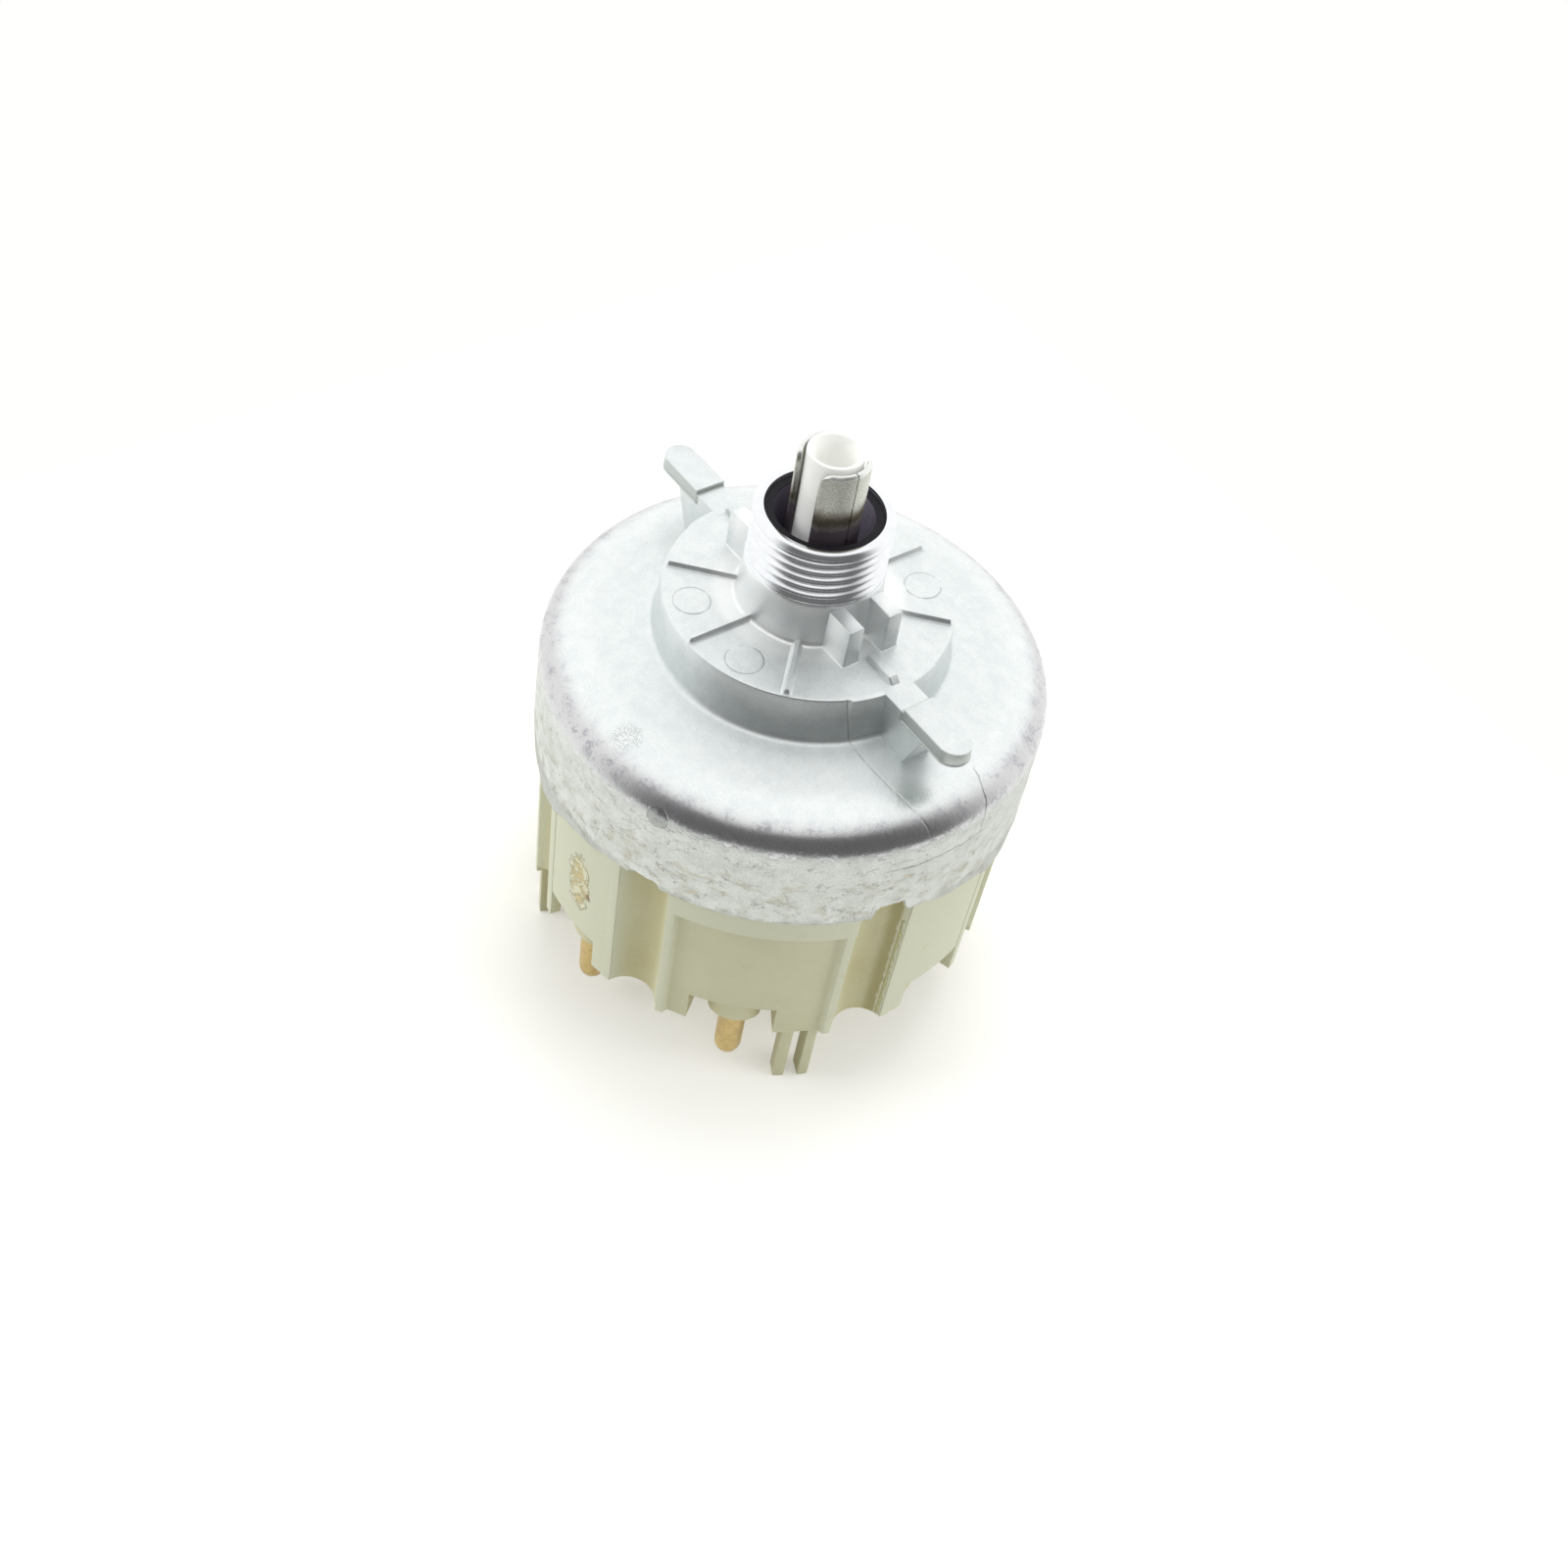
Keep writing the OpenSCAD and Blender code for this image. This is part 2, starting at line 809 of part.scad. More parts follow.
module shaft_sleeve() {
    slot_low = 52;
    seam = [36.5, 60];
    seam_w = 0.35;
    outer = sleeve_d / 2;
    color("dimgray")
        difference() {
            intersection() {
                tube(outer, outer - sleeve_t, collar[0], sleeve_top);
                rotate([90, 0, 90]) raise(-outer, outer) finger_face();
            }
            for (a = [90, 270])
                raise(slot_low, sleeve_top + over)
                    wedge(a - 90 + finger_arc / 2, a + 90 - finger_arc / 2);
            translate([0, -seam_w / 2, seam[0]]) cube([outer + 1, seam_w, seam[1] - seam[0]]);
        }
}

module light_guide() {
    funnel_h = 3;
    clip_groove = [clip[0] - slack, clip[1] + slack];
    outer = guide_d / 2;
    color("white")
        rotate_extrude()
            polygon([[guide_bore_d / 2, guide_low], [outer, guide_low],
                     [outer, clip_groove[0]], [outer - 0.4, clip_groove[0]],
                     [outer - 0.4, clip_groove[1]], [outer, clip_groove[1]],
                     [outer, guide_top], [guide_mouth_d / 2, guide_top],
                     [guide_bore_d / 2, guide_top - funnel_h]]);
}

// Slides in the rotor on two keys; the fog slider's fingers hook into the groove underneath
module shaft_collar() {
    hook_neck = [5.1, 6.4];
    hook_room_r = 4.6;
    hook_z = [32.3, 33.5];
    wire_groove_r = 7.2;
    slide_r = tube_r[0] - 0.1;
    color("ivory")
        difference() {
            union() {
                post(slide_r, collar[0], collar[1]);
                for (a = [0, 180])
                    rotate(a)
                        translate([0, -key_w / 2, collar[0]])
                            cube([key_reach - 0.2, key_w, collar[1] - collar[0]]);
            }
            post(sleeve_d / 2, collar[0] - over, collar[1] + over);
            tube(hook_neck[1], hook_neck[0], collar[0] - over, hook_z[1]);
            tube(hook_neck[1], hook_room_r, hook_z[0], hook_z[1]);
            tube(key_reach, wire_groove_r, wire_z - wire_h / 2 - slack, wire_z + wire_h / 2 + slack);
        }
}

module pull_detent_ring() {
    gap_half = 15;
    color("gray")
        difference() {
            tube(tube_r[0] - slack, 7.25, wire_z - wire_h / 2, wire_z + wire_h / 2);
            raise(wire_z - wire_h, wire_z + wire_h) wedge(90 - gap_half, 90 + gap_half);
        }
}

module guide_clip() {
    gap_half = 25;
    color("gray")
        difference() {
            tube(3.9, guide_d / 2 - 0.38, clip[0], clip[1]);
            raise(clip[0] - over, clip[1] + over) wedge(-gap_half, gap_half);
        }
}

// ---- Fog lamp slider ----

module fog_slider() {
    hook_h = 0.7;
    finger_low = 26;
    guide_h = 3;
    key = [3.75, 0.8];
    split_w = 1.2;
    color("ivory") {
        difference() {
            union() {
                tube(slider_ring_r[1] - 0.2, slider_ring_r[0], slider[0], slider[0] + guide_h);
                tube(slider_wall_r[1], slider_wall_r[0], slider[0], slider[1]);
                tube(slider_wall_r[1], slider_wall_r[0] - slider_lip, slider[1] - hook_h, slider[1]);
            }
            for (a = quarter)
                rotate(a + 45)
                    translate([0, -split_w / 2, finger_low])
                        cube([slider_ring_r[1], split_w, slider[1] - finger_low + over]);
        }
        for (a = [0, 180])
            rotate(a)
                translate([key[0], -key[1] / 2, slider[0]])
                    cube([slider_ring_r[0] - key[0] + 0.2, key[1], guide_h]);
    }
}

module fog_bridge() {
    color("goldenrod")
        tube(slider_ring_r[1], slider_ring_r[0] + 0.3, slider[0] - bridge_ring_t, slider[0]);
}

// ---- Assembly ----

housing();
contact_base();
detent_ring();
thrust_washer();
rotor();
shaft_sleeve();
light_guide();
shaft_collar();
pull_detent_ring();
guide_clip();
fog_slider();
fog_bridge();
fog_contact(fog_pins[0]);  // fog_contact_a
fog_contact(fog_pins[1]);  // fog_contact_b
bulb_contact();
bulb_holder();
bulb();
detent_ball(1);  // detent_ball_a
detent_ball(-1);  // detent_ball_b
detent_spring(1);  // detent_spring_a
detent_spring(-1);  // detent_spring_b
contact_bridge(1);  // contact_bridge_1
contact_bridge(2);  // contact_bridge_2
contact_bridge(3);  // contact_bridge_3
bridge_spring(1);  // bridge_spring_1
bridge_spring(2);  // bridge_spring_2
bridge_spring(3);  // bridge_spring_3
contact_plate(plate_pins[0]);  // contact_plate_1
contact_plate(plate_pins[1]);  // contact_plate_2
contact_plate(plate_pins[2]);  // contact_plate_3
contact_plate(plate_pins[3]);  // contact_plate_4
contact_plate(plate_pins[4]);  // contact_plate_5
terminal_pin(0);  // terminal_pin_1
terminal_pin(1);  // terminal_pin_2
terminal_pin(2);  // terminal_pin_3
terminal_pin(3);  // terminal_pin_4
terminal_pin(4);  // terminal_pin_5
terminal_pin(5);  // terminal_pin_6
terminal_pin(6);  // terminal_pin_7
terminal_pin(7);  // terminal_pin_8
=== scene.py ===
# %% [markdown]
# # A headlight switch seen close up
# The switch turns and pulls on one hollow shaft. What shows is a zinc casting with a threaded
# neck, a beige moulded base with round pins, and a split steel sleeve round a white light guide.
# The exact solids come first as a fixed frame. Every piece that shows is then made again with
# the edges, grain and wear of the real one, in the same place.

import json
import math

import bmesh
import bpy
from mathutils import Matrix, Vector, geometry, noise


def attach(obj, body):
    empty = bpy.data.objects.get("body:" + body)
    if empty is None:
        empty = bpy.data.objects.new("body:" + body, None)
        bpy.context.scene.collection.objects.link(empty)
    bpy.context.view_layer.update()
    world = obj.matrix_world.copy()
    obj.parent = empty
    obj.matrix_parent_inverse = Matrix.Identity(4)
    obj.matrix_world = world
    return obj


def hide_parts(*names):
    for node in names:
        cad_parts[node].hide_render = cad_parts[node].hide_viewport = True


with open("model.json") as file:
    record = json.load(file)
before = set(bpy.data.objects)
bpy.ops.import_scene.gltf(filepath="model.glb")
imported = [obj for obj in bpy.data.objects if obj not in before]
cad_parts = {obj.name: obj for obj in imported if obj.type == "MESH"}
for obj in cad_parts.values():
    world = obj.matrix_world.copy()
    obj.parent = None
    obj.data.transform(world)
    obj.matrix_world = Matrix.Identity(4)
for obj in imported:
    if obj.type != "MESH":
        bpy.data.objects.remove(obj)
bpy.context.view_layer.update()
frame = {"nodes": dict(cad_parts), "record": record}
nodes = frame["nodes"]
MM = 0.001
TURN = 2 * math.pi

# %% [markdown]
# ## Expressions for node graphs
# A finish is a graph of nodes. Wiring by hand hides the thought behind it, so a small class
# wraps one socket and lets Python's operators add the Math nodes. The same class serves
# materials and Geometry Nodes, because both know the Math node.

# %% A socket that Python can calculate with
class Wire:
    def __init__(self, graph, socket):
        self.graph, self.socket = graph, socket

    def _math(self, operation, *values):
        inputs = dict(enumerate(values))
        return self.graph.add("ShaderNodeMath", {"operation": operation}, inputs)

    def __add__(self, other):
        return self._math("ADD", self, other)

    def __sub__(self, other):
        return self._math("SUBTRACT", self, other)

    def __rsub__(self, other):
        return self._math("SUBTRACT", other, self)

    def __mul__(self, other):
        return self._math("MULTIPLY", self, other)

    def __truediv__(self, other):
        return self._math("DIVIDE", self, other)

    def __rtruediv__(self, other):
        return self._math("DIVIDE", other, self)

    def __pow__(self, other):
        return self._math("POWER", self, other)

    def __abs__(self):
        return self._math("ABSOLUTE", self)

    __radd__ = __add__
    __rmul__ = __mul__


# %% A graph, and the one method that adds any other node
class Graph:
    def __init__(self, tree):
        self.tree = tree

    def add(self, kind, settings=None, inputs=None, out=0):
        node = self.tree.nodes.new(kind)
        for key, value in (settings or {}).items():
            setattr(node, key, value)
        for key, value in (inputs or {}).items():
            if isinstance(value, Wire):
                self.tree.links.new(value.socket, node.inputs[key])
            else:
                node.inputs[key].default_value = value
        return Wire(self, node.outputs[out]) if node.outputs else node

    def also(self, wire, name):
        """Another output of the node that a wire comes from."""
        return Wire(self, wire.socket.node.outputs[name])


# %% [markdown]
# ## Patterns for the finishes
# Each finish needs the same few patterns: cloudy noise at a given size, a soft step from one
# value to another, and a thin line along a curve. Sizes are in millimetres, and every pattern
# reads the object's own coordinates, so it stays on the piece from any side.

# %% The patterns
class Patterns(Graph):
    """What the finishes and the room's light have in common."""

    def vector(self, operation, *values, scale=None):
        inputs = dict(enumerate(values))
        if scale is not None:
            inputs["Scale"] = scale
        out = 1 if operation in ("LENGTH", "DISTANCE", "DOT_PRODUCT") else 0
        return self.add("ShaderNodeVectorMath", {"operation": operation}, inputs, out)

    def step(self, value, low, high, to_low=0.0, to_high=1.0):
        """A soft step: to_low where value is below low, to_high above high."""
        inputs = {0: value, 1: low, 2: high, 3: to_low, 4: to_high}
        return self.add("ShaderNodeMapRange", {"interpolation_type": "SMOOTHSTEP"}, inputs)

    def fall(self, value, low, high):
        """A soft step down from 1 to 0."""
        return self.step(value, low, high, 1.0, 0.0)

    def highest(self, first, *others):
        for other in others:
            first = self.add("ShaderNodeMath", {"operation": "MAXIMUM"}, {0: first, 1: other})
        return first


# %% A finish
class Finish(Patterns):
    """One material, whose Principled shader is filled by paint()."""

    def __init__(self, name):
        self.material = bpy.data.materials.new(name)
        self.material.use_nodes = True
        super().__init__(self.material.node_tree)
        self.tree.nodes.clear()
        place = self.add("ShaderNodeTexCoord", out="Object")
        self.place = self.vector("SCALE", place, scale=1 / MM)
        self.x = self.add("ShaderNodeSeparateXYZ", inputs={0: self.place})
        self.y, self.z = self.also(self.x, "Y"), self.also(self.x, "Z")

    def noise(self, size, detail=3, rough=0.55, warp=0, stretch=(1, 1, 1)):
        """Clouds from 0 to 1 whose blots are about size millimetres across."""
        place = self.vector("MULTIPLY", self.place, tuple(s / size for s in stretch))
        inputs = {"Vector": place, "Scale": 1.0, "Detail": detail, "Roughness": rough, "Distortion": warp}
        return self.add("ShaderNodeTexNoise", inputs=inputs, out=0)

    def line(self, distance, width, soft):
        """1 on a line, 0 away from it."""
        return self.fall(abs(distance), width / 2, width / 2 + soft)

    def away(self, radius, turn, z):
        """The distance from a spot on the piece."""
        return self.vector("DISTANCE", self.place, (*polar(radius, turn), z))

    def radius(self):
        return (self.x * self.x + self.y * self.y) ** 0.5

    def angle(self):
        """The turn round the axis, in degrees."""
        return self.add("ShaderNodeMath", {"operation": "ARCTAN2"}, {0: self.y, 1: self.x}) * (360 / TURN)

    def mix(self, share, a, b):
        """Colour a where share is 0, colour b where it is 1."""
        ends = [c if isinstance(c, Wire) else (*c, 1) for c in (a, b)]
        inputs = {0: share, 6: ends[0], 7: ends[1]}
        return self.add("ShaderNodeMix", {"data_type": "RGBA"}, inputs, 2)

    def coats(self, colour, *coats):
        """Lays coats over a colour, each a share and its own colour."""
        for share, coat in coats:
            colour = self.mix(share, colour, coat)
        return colour

    def bump(self, height):
        """Normals for a height in millimetres."""
        return self.add("ShaderNodeBump", inputs={"Height": height, "Distance": MM, "Strength": 1.0})

    def paint(self, **sockets):
        """Fills the Principled shader; an underscore stands for a space in a socket's name."""
        named = {key.replace("_", " "): value for key, value in sockets.items()}
        for key, value in named.items():
            if "Color" in key and not isinstance(value, Wire):
                named[key] = (*value, 1)
        shader = self.add("ShaderNodeBsdfPrincipled", inputs=named)
        self.add("ShaderNodeOutputMaterial", inputs={"Surface": shader})
        return self.material


# %% Places and colours
def polar(radius, turn):
    """A point at a radius and a turn in degrees, seen from above."""
    return radius * math.cos(math.radians(turn)), radius * math.sin(math.radians(turn))


def srgb(red, green, blue):
    """A colour as a screen shows it, made linear."""
    parts = [c / 255 for c in (red, green, blue)]
    return tuple(c / 12.92 if c < 0.0405 else ((c + 0.055) / 1.055) ** 2.4 for c in parts)


print("a screen's middle grey is", round(srgb(128, 128, 128)[0], 3), "in linear light")

# %% [markdown]
# ## Cast zinc
# The housing comes out of a die: a fine cloudy grain on the dome, a shoulder rubbed to a soft
# shine, and below it a skirt that the die left rough, with stains, pits and small flakes. One
# finish covers all three zones. It reads height and radius to know where it is, and noise
# breaks up the borders so that no zone ends in a clean line.

# %% Where the casting's zones and marks are
HUB_TOP_Z, DOME_Z, RIM_Z = 50.2, 45.0, 30.5
ROUGH_TOP, SHINE_LOW, SHINE_TOP, WORN_BAND_TOP = (40.3, 41.2), (40.5, 41.3), (43.8, 45.0), (42.6, 43.6)
STAIN_TOP, DARK_EDGE_TOP, ARM_SHADE_LOW, ARM_SHADE_TOP = (36.5, 38.5), (30.6, 31.6), (48.9, 49.0), (50.5, 50.6)
SHOULDER_IN, LIT_NECK_OUT, ARM_SHADE_IN = (20, 23), (9.0, 10.5), (17.2, 17.6)
EJECTOR_TURNS, EJECTOR_CIRCLE_R, EJECTOR_R = (-112.5, -67.5, 67.5, 112.5), 12.0, 1.9
PARTING_TURN, PARTING_LEAN, PARTING_IN, PARTING_LOW = -19.0, 1.15, (15.3, 15.7), (39.5, 42.5)
WALL_LINE_TURN, WALL_LINE_Z, WALL_LINE_LEAN, WALL_LOW = -19.2, 45.3, 0.55, (45.1, 45.5)
WALL_IN, WALL_OUT = (14.6, 14.7), (15.5, 15.6)
KNOCK_SPOT, KNOCK_R, SCRATCH_SPOT = (26.5, -66.0, 40.7), 1.1, (23.1, -82.7, 44.0)
FOLD_Z, FOLD_START, FOLD_END = 37.9, (-17, -13), (10, 13.5)
CREASE_TURN, CREASE_LEAN, CREASE_IN = 12.0, 0.85, (22.8, 23.4)


# %% The zinc casting's lines
def ejector_rings(f):
    marks = [f.away(EJECTOR_CIRCLE_R, at, HUB_TOP_Z) for at in EJECTOR_TURNS]
    return f.highest(*(f.line(off - EJECTOR_R, 0.09, 0.07) for off in marks))


def die_lines(f, turn, radius):
    """The lines that the die's joint left on the dome and on the hub's wall."""
    dome = f.line(turn - PARTING_TURN - (radius - PARTING_IN[0]) * PARTING_LEAN, 0.35, 0.3)
    dome = dome * f.step(f.z, *PARTING_LOW) * f.step(radius, *PARTING_IN)
    wall = f.line(turn - WALL_LINE_TURN + (f.z - WALL_LINE_Z) * WALL_LINE_LEAN, 0.3, 0.25)
    return dome, wall * f.fall(radius, *WALL_OUT) * f.step(f.z, *WALL_LOW) * f.step(radius, *WALL_IN)


def fold_lines(f, turn, radius, mottle):
    """A fold along the skirt, and a crease that runs up from it."""
    fold = f.line(f.z - FOLD_Z - (mottle - 0.5) * 0.9, 0.07, 0.08)
    fold = fold * f.step(turn, *FOLD_START) * f.fall(turn, *FOLD_END)
    crease = f.line(turn - CREASE_TURN + (radius - 23) * CREASE_LEAN - (mottle - 0.5) * 2, 0.16, 0.2)
    crease = crease * f.step(radius, *CREASE_IN) * f.step(f.z, FOLD_Z, FOLD_Z + 0.2)
    return f.highest(fold, crease) * f.step(radius, 22, 22.5)


# %% The zinc casting
def zinc_casting():
    f = Finish("zinc_casting")
    cloud = f.noise(9, 2)
    mottle = f.noise(1.6, 4, 0.62)
    grain = f.noise(0.38, 3, 0.6)
    fine = f.noise(0.17, 2, 0.6)
    lumps = f.noise(0.7, 4, 0.62)
    streak = f.noise(2.2, 4, 0.6, 0.4, (1, 1, 1.6))
    flow = f.noise(3.6, 4, 0.6, 0.5, (1, 1, 1.7))
    turn, radius = f.angle(), f.radius()
    outer = f.step(radius, *SHOULDER_IN)

    border = f.z - (mottle - 0.5) * 3.0 - (grain - 0.5) * 2.0
    skirt = f.fall(border, *ROUGH_TOP)
    above = f.step(border, *SHINE_LOW) * outer
    shoulder = above * f.fall(f.z, *SHINE_TOP)
    # Wear and painted reflection: the band low on the shoulder is painted darker and mottled, standing in for
    # the dark side of the room that it reflects.
    worn_and_painted_band = above * f.fall(f.z, *WORN_BAND_TOP)
    scuffed_painted_band = f.step(mottle * 0.5 + grain * 0.3 + fine * 0.2, 0.49, 0.62) * worn_and_painted_band
    stain = f.step(streak * 0.7 + fine * 0.3, 0.5, 0.64) * skirt
    # Painted shade: the arms' upright sides, out past the hub, are painted darker.
    arm_side_shade = f.step(f.z, *ARM_SHADE_LOW) * f.fall(f.z, *ARM_SHADE_TOP) * f.step(radius, *ARM_SHADE_IN)

    rings = ejector_rings(f) * f.step(mottle, 0.36, 0.52)
    parting, wall_line = die_lines(f, turn, radius)
    marks = f.highest(rings * 0.5, parting * f.step(grain, 0.3, 0.6) * 0.45, wall_line * 0.7)
    crack = f.line(flow - 0.5, 0.006, 0.006) * f.step(streak, 0.42, 0.55) * skirt
    cracks = f.highest(crack, fold_lines(f, turn, radius, mottle))
    knock = f.away(*KNOCK_SPOT)
    knock_ring = f.line(knock - KNOCK_R, 0.1, 0.12)
    scratch = f.fall(f.away(*SCRATCH_SPOT) + (grain - 0.5) * 1.4, 1.1, 1.9) * f.step(fine, 0.46, 0.56)

    # Painted light: the coat towards the neck paints the cast neck, the lugs and the inner hub top paler.
    top = f.coats(
        f.mix(cloud, srgb(228, 233, 233), srgb(239, 243, 243)),
        (f.step(mottle * 0.5 + fine * 0.5, 0.38, 0.64) * 0.5, srgb(210, 216, 217)),
        (f.fall(radius, *LIT_NECK_OUT) * 0.65, srgb(253, 254, 254)),
        (arm_side_shade * 0.8, srgb(186, 192, 188)))
    low = f.coats(
        f.mix(f.step(mottle * 0.5 + fine * 0.5, 0.36, 0.64), srgb(204, 208, 203), srgb(228, 231, 228)),
        (stain * f.fall(f.z, *STAIN_TOP) * 0.36, srgb(166, 152, 112)),
        (f.fall(f.z + (mottle - 0.5) * 2, *DARK_EDGE_TOP) * 0.35, srgb(150, 152, 146)))
    colour = f.coats(
        f.mix(skirt, top, low),
        (worn_and_painted_band * 0.6, srgb(188, 183, 186)),
        (scuffed_painted_band * 0.45, srgb(140, 136, 152)),
        (f.highest(marks * 0.55, cracks * 0.45, scratch * 0.3), srgb(112, 116, 116)),
        (f.highest(knock_ring * 0.4, f.fall(knock, 0.8, 1.2) * 0.35), srgb(112, 112, 112)))
    roughness = 0.42 + cloud * 0.05 + grain * 0.06 - shoulder * 0.2 + scuffed_painted_band * 0.16 + skirt * mottle * 0.14
    relief = lumps * skirt * 0.03 + grain * (0.008 + skirt * 0.014)
    relief = relief + fine * (0.003 + skirt * 0.006) + mottle * 0.01
    relief = relief - marks * 0.03 - knock_ring * 0.02 - cracks * 0.03 - scratch * 0.006
    return f.paint(Base_Color=colour, Metallic=1.0, Roughness=roughness, Normal=f.bump(relief))


# %% [markdown]
# ## Cut thread
# A tool cut the thread and the mouth of the neck after casting, so they shine. Fine turning
# lines run round them, much closer together than the thread itself. Below the mouth the bore is
# painted dark, a painted shade that makes it read as deep.

# %% The machined zinc
def machined_zinc():
    f = Finish("machined_zinc")
    lines = f.noise(0.5, 2, 0.5, 0, (0.05, 0.05, 6))
    smear = f.noise(1.4, 3, 0.6)
    roughness = 0.1 + smear * 0.08 + lines * 0.04
    colour = f.mix(smear, srgb(240, 241, 243), srgb(222, 225, 229))
    normal = f.bump(lines * 0.0012 + f.noise(0.5, 2) * 0.002)
    return f.paint(Base_Color=colour, Metallic=1.0, Roughness=roughness, Normal=normal)


# %% The bore, painted dark as shade
def shaded_bore():
    f = Finish("shaded_bore")
    painted_tone = f.noise(1.8, 3, 0.6)
    fine = f.noise(0.3, 2)
    # Painted shade: the bore's walls are painted dark, and the blots only vary that shade.
    colour = f.mix(painted_tone, srgb(118, 112, 130), srgb(136, 131, 147))
    return f.paint(Base_Color=colour, Roughness=0.62 + fine * 0.1, Specular_IOR_Level=0.25,
                   Normal=f.bump(fine * 0.006))


# %% [markdown]
# ## Beige base plastic
# The base is filled nylon, moulded in a grey beige. Its skin is satin with a very fine grain,
# a little paler where it flowed last. One plateau has a rough yellowed patch where something
# was scraped away, so the finish adds torn relief and browner plastic inside a ragged spot.

# %% The base plastic
PATCH_SPOT, PATCH_FLAT, PATCH_R, BURN_SPOT = (26.5, -86.0, 22.1), 0.42, 1.8, (26.5, -82.6, 20.9)
FLASH_EDGE_TURN, FLASH_EDGE_TOP, FLASH_EDGE_IN = -6.6, (RIM_Z - 3.2, RIM_Z - 3), (25.9, 26.1)
FLUTE_SHADE_START, FLUTE_SHADE_END, FLUTE_SHADE_IN = (-3.2, -0.9), (-0.4, 0.0), (23.9, 24.1)
RECESS_SHADE_SPAN = (24.4, 26.5)


def base_plastic():
    f = Finish("base_plastic")
    flow = f.noise(7, 3, 0.6)
    speck = f.noise(0.22, 2, 0.5)
    grime = f.noise(2.6, 4, 0.6)
    ragged = f.noise(1.2, 3, 0.6, 0.6)
    chips = f.noise(0.5, 3, 0.65, 0.6)
    turn, radius = f.angle(), f.radius()

    squashed = f.vector("MULTIPLY", f.place, (1, 1, PATCH_FLAT))
    middle = (*polar(*PATCH_SPOT[:2]), PATCH_SPOT[2] * PATCH_FLAT)
    away = f.vector("DISTANCE", squashed, middle)
    patch = f.fall(away + (ragged - 0.5) * 2.4, PATCH_R - 0.3, PATCH_R)
    torn = f.step(ragged * 0.6 + chips * 0.4, 0.47, 0.55)
    burnt = f.fall(f.away(*BURN_SPOT) + (chips - 0.5) * 1.6, 0.3, 0.6)
    side = turn - FLASH_EDGE_TURN + (ragged - 0.5) * 0.9
    # Ragged flash along one plateau's edge, with a painted highlight along it.
    flash_and_highlight = f.line(side - 0.1, 0.35, 0.15) * f.fall(f.z, *FLASH_EDGE_TOP) * f.step(radius, *FLASH_EDGE_IN)
    # Painted shade: the flute beside that edge is painted dark olive.
    flute_edge_shade = f.step(side, *FLUTE_SHADE_START) * f.fall(side, *FLUTE_SHADE_END)
    flute_edge_shade = flute_edge_shade * f.step(radius, *FLUTE_SHADE_IN)

    # Painted shade: faces recessed from the outline, such as the flutes, are painted darker and yellower than
    # the proud ones.
    colour = f.coats(
        f.mix(f.step(radius, *RECESS_SHADE_SPAN), srgb(198, 191, 143), srgb(218, 220, 194)),
        (f.step(flow, 0.3, 0.7) * 0.3, srgb(222, 223, 196)),
        (f.step(speck, 0.45, 0.8) * 0.2, srgb(228, 228, 202)),
        (f.step(grime, 0.6, 0.8) * 0.25, srgb(188, 176, 126)),
        (flute_edge_shade * 0.75, srgb(156, 146, 78)),
        (flash_and_highlight * 0.8, srgb(222, 218, 150)),
        (patch, srgb(238, 235, 204)),
        (patch * torn * 0.8, srgb(222, 202, 138)),
        (burnt * 0.7, srgb(136, 88, 40)))
    roughness = 0.42 + speck * 0.12 + patch * 0.2
    relief = speck * 0.008 + flow * 0.02 + patch * (0.22 - torn * 0.16 + chips * 0.1) + flash_and_highlight * chips * 0.3
    return f.paint(Base_Color=colour, Roughness=roughness, Normal=f.bump(relief), Specular_IOR_Level=0.5)


# %% [markdown]
# ## The metals and plastics of the small pieces
# The brass pins are turned and slightly dulled. The sleeve is rolled steel whose plating has
# worn to a speckled grey, with a brown heat band and a dark lower part. The light guide is
# milky and lets light through. The pieces sealed inside share plainer finishes, each with its
# own grain.

# %% The brass
def pin_brass():
    f = Finish("pin_brass")
    dull = f.noise(1.1, 3, 0.6)
    lines = f.noise(0.5, 2, 0.5, 0, (0.1, 0.1, 7))
    colour = f.mix(f.step(dull, 0.4, 0.7), srgb(214, 188, 126), srgb(194, 168, 112))
    roughness = 0.3 + dull * 0.16
    return f.paint(Base_Color=colour, Metallic=0.6, Roughness=roughness, Normal=f.bump(lines * 0.005))


# %% The sleeve's steel
SLEEVE_TOP, ROLLED_EDGE = 67.9, (67.5, 67.6)
DARK_TOP, HEAT_LOW, HEAT_TOP = (61.4, 62.6), (61.4, 62.4), (62.6, 64.4)


def sleeve_steel():
    f = Finish("sleeve_steel")
    speckle = f.noise(0.17, 3, 0.6)
    blot = f.noise(1.5, 3, 0.6)
    edge = f.z + (blot - 0.5) * 1.6 + (speckle - 0.5) * 0.9
    dark = f.fall(edge, *DARK_TOP)
    brown = f.step(edge, *HEAT_LOW) * f.fall(edge, *HEAT_TOP)
    seam = f.line(f.y, 0.07, 0.05) * f.step(f.x, 0.5, 1.0)
    rolled = f.step(f.z, *ROLLED_EDGE)
    colour = f.coats(
        f.mix(f.step(speckle, 0.36, 0.68), srgb(186, 188, 180), srgb(226, 226, 217)),
        (rolled * 0.8, srgb(236, 238, 236)),
        (brown * 0.8, srgb(112, 96, 70)),
        (dark, srgb(92, 84, 90)),
        (seam * 0.8, srgb(48, 44, 42)))
    roughness = 0.3 + speckle * 0.2 + dark * 0.1 - rolled * 0.1
    normal = f.bump(speckle * 0.012 - seam * 0.05)
    return f.paint(Base_Color=colour, Metallic=1 - dark * 0.7, Roughness=roughness, Normal=normal)


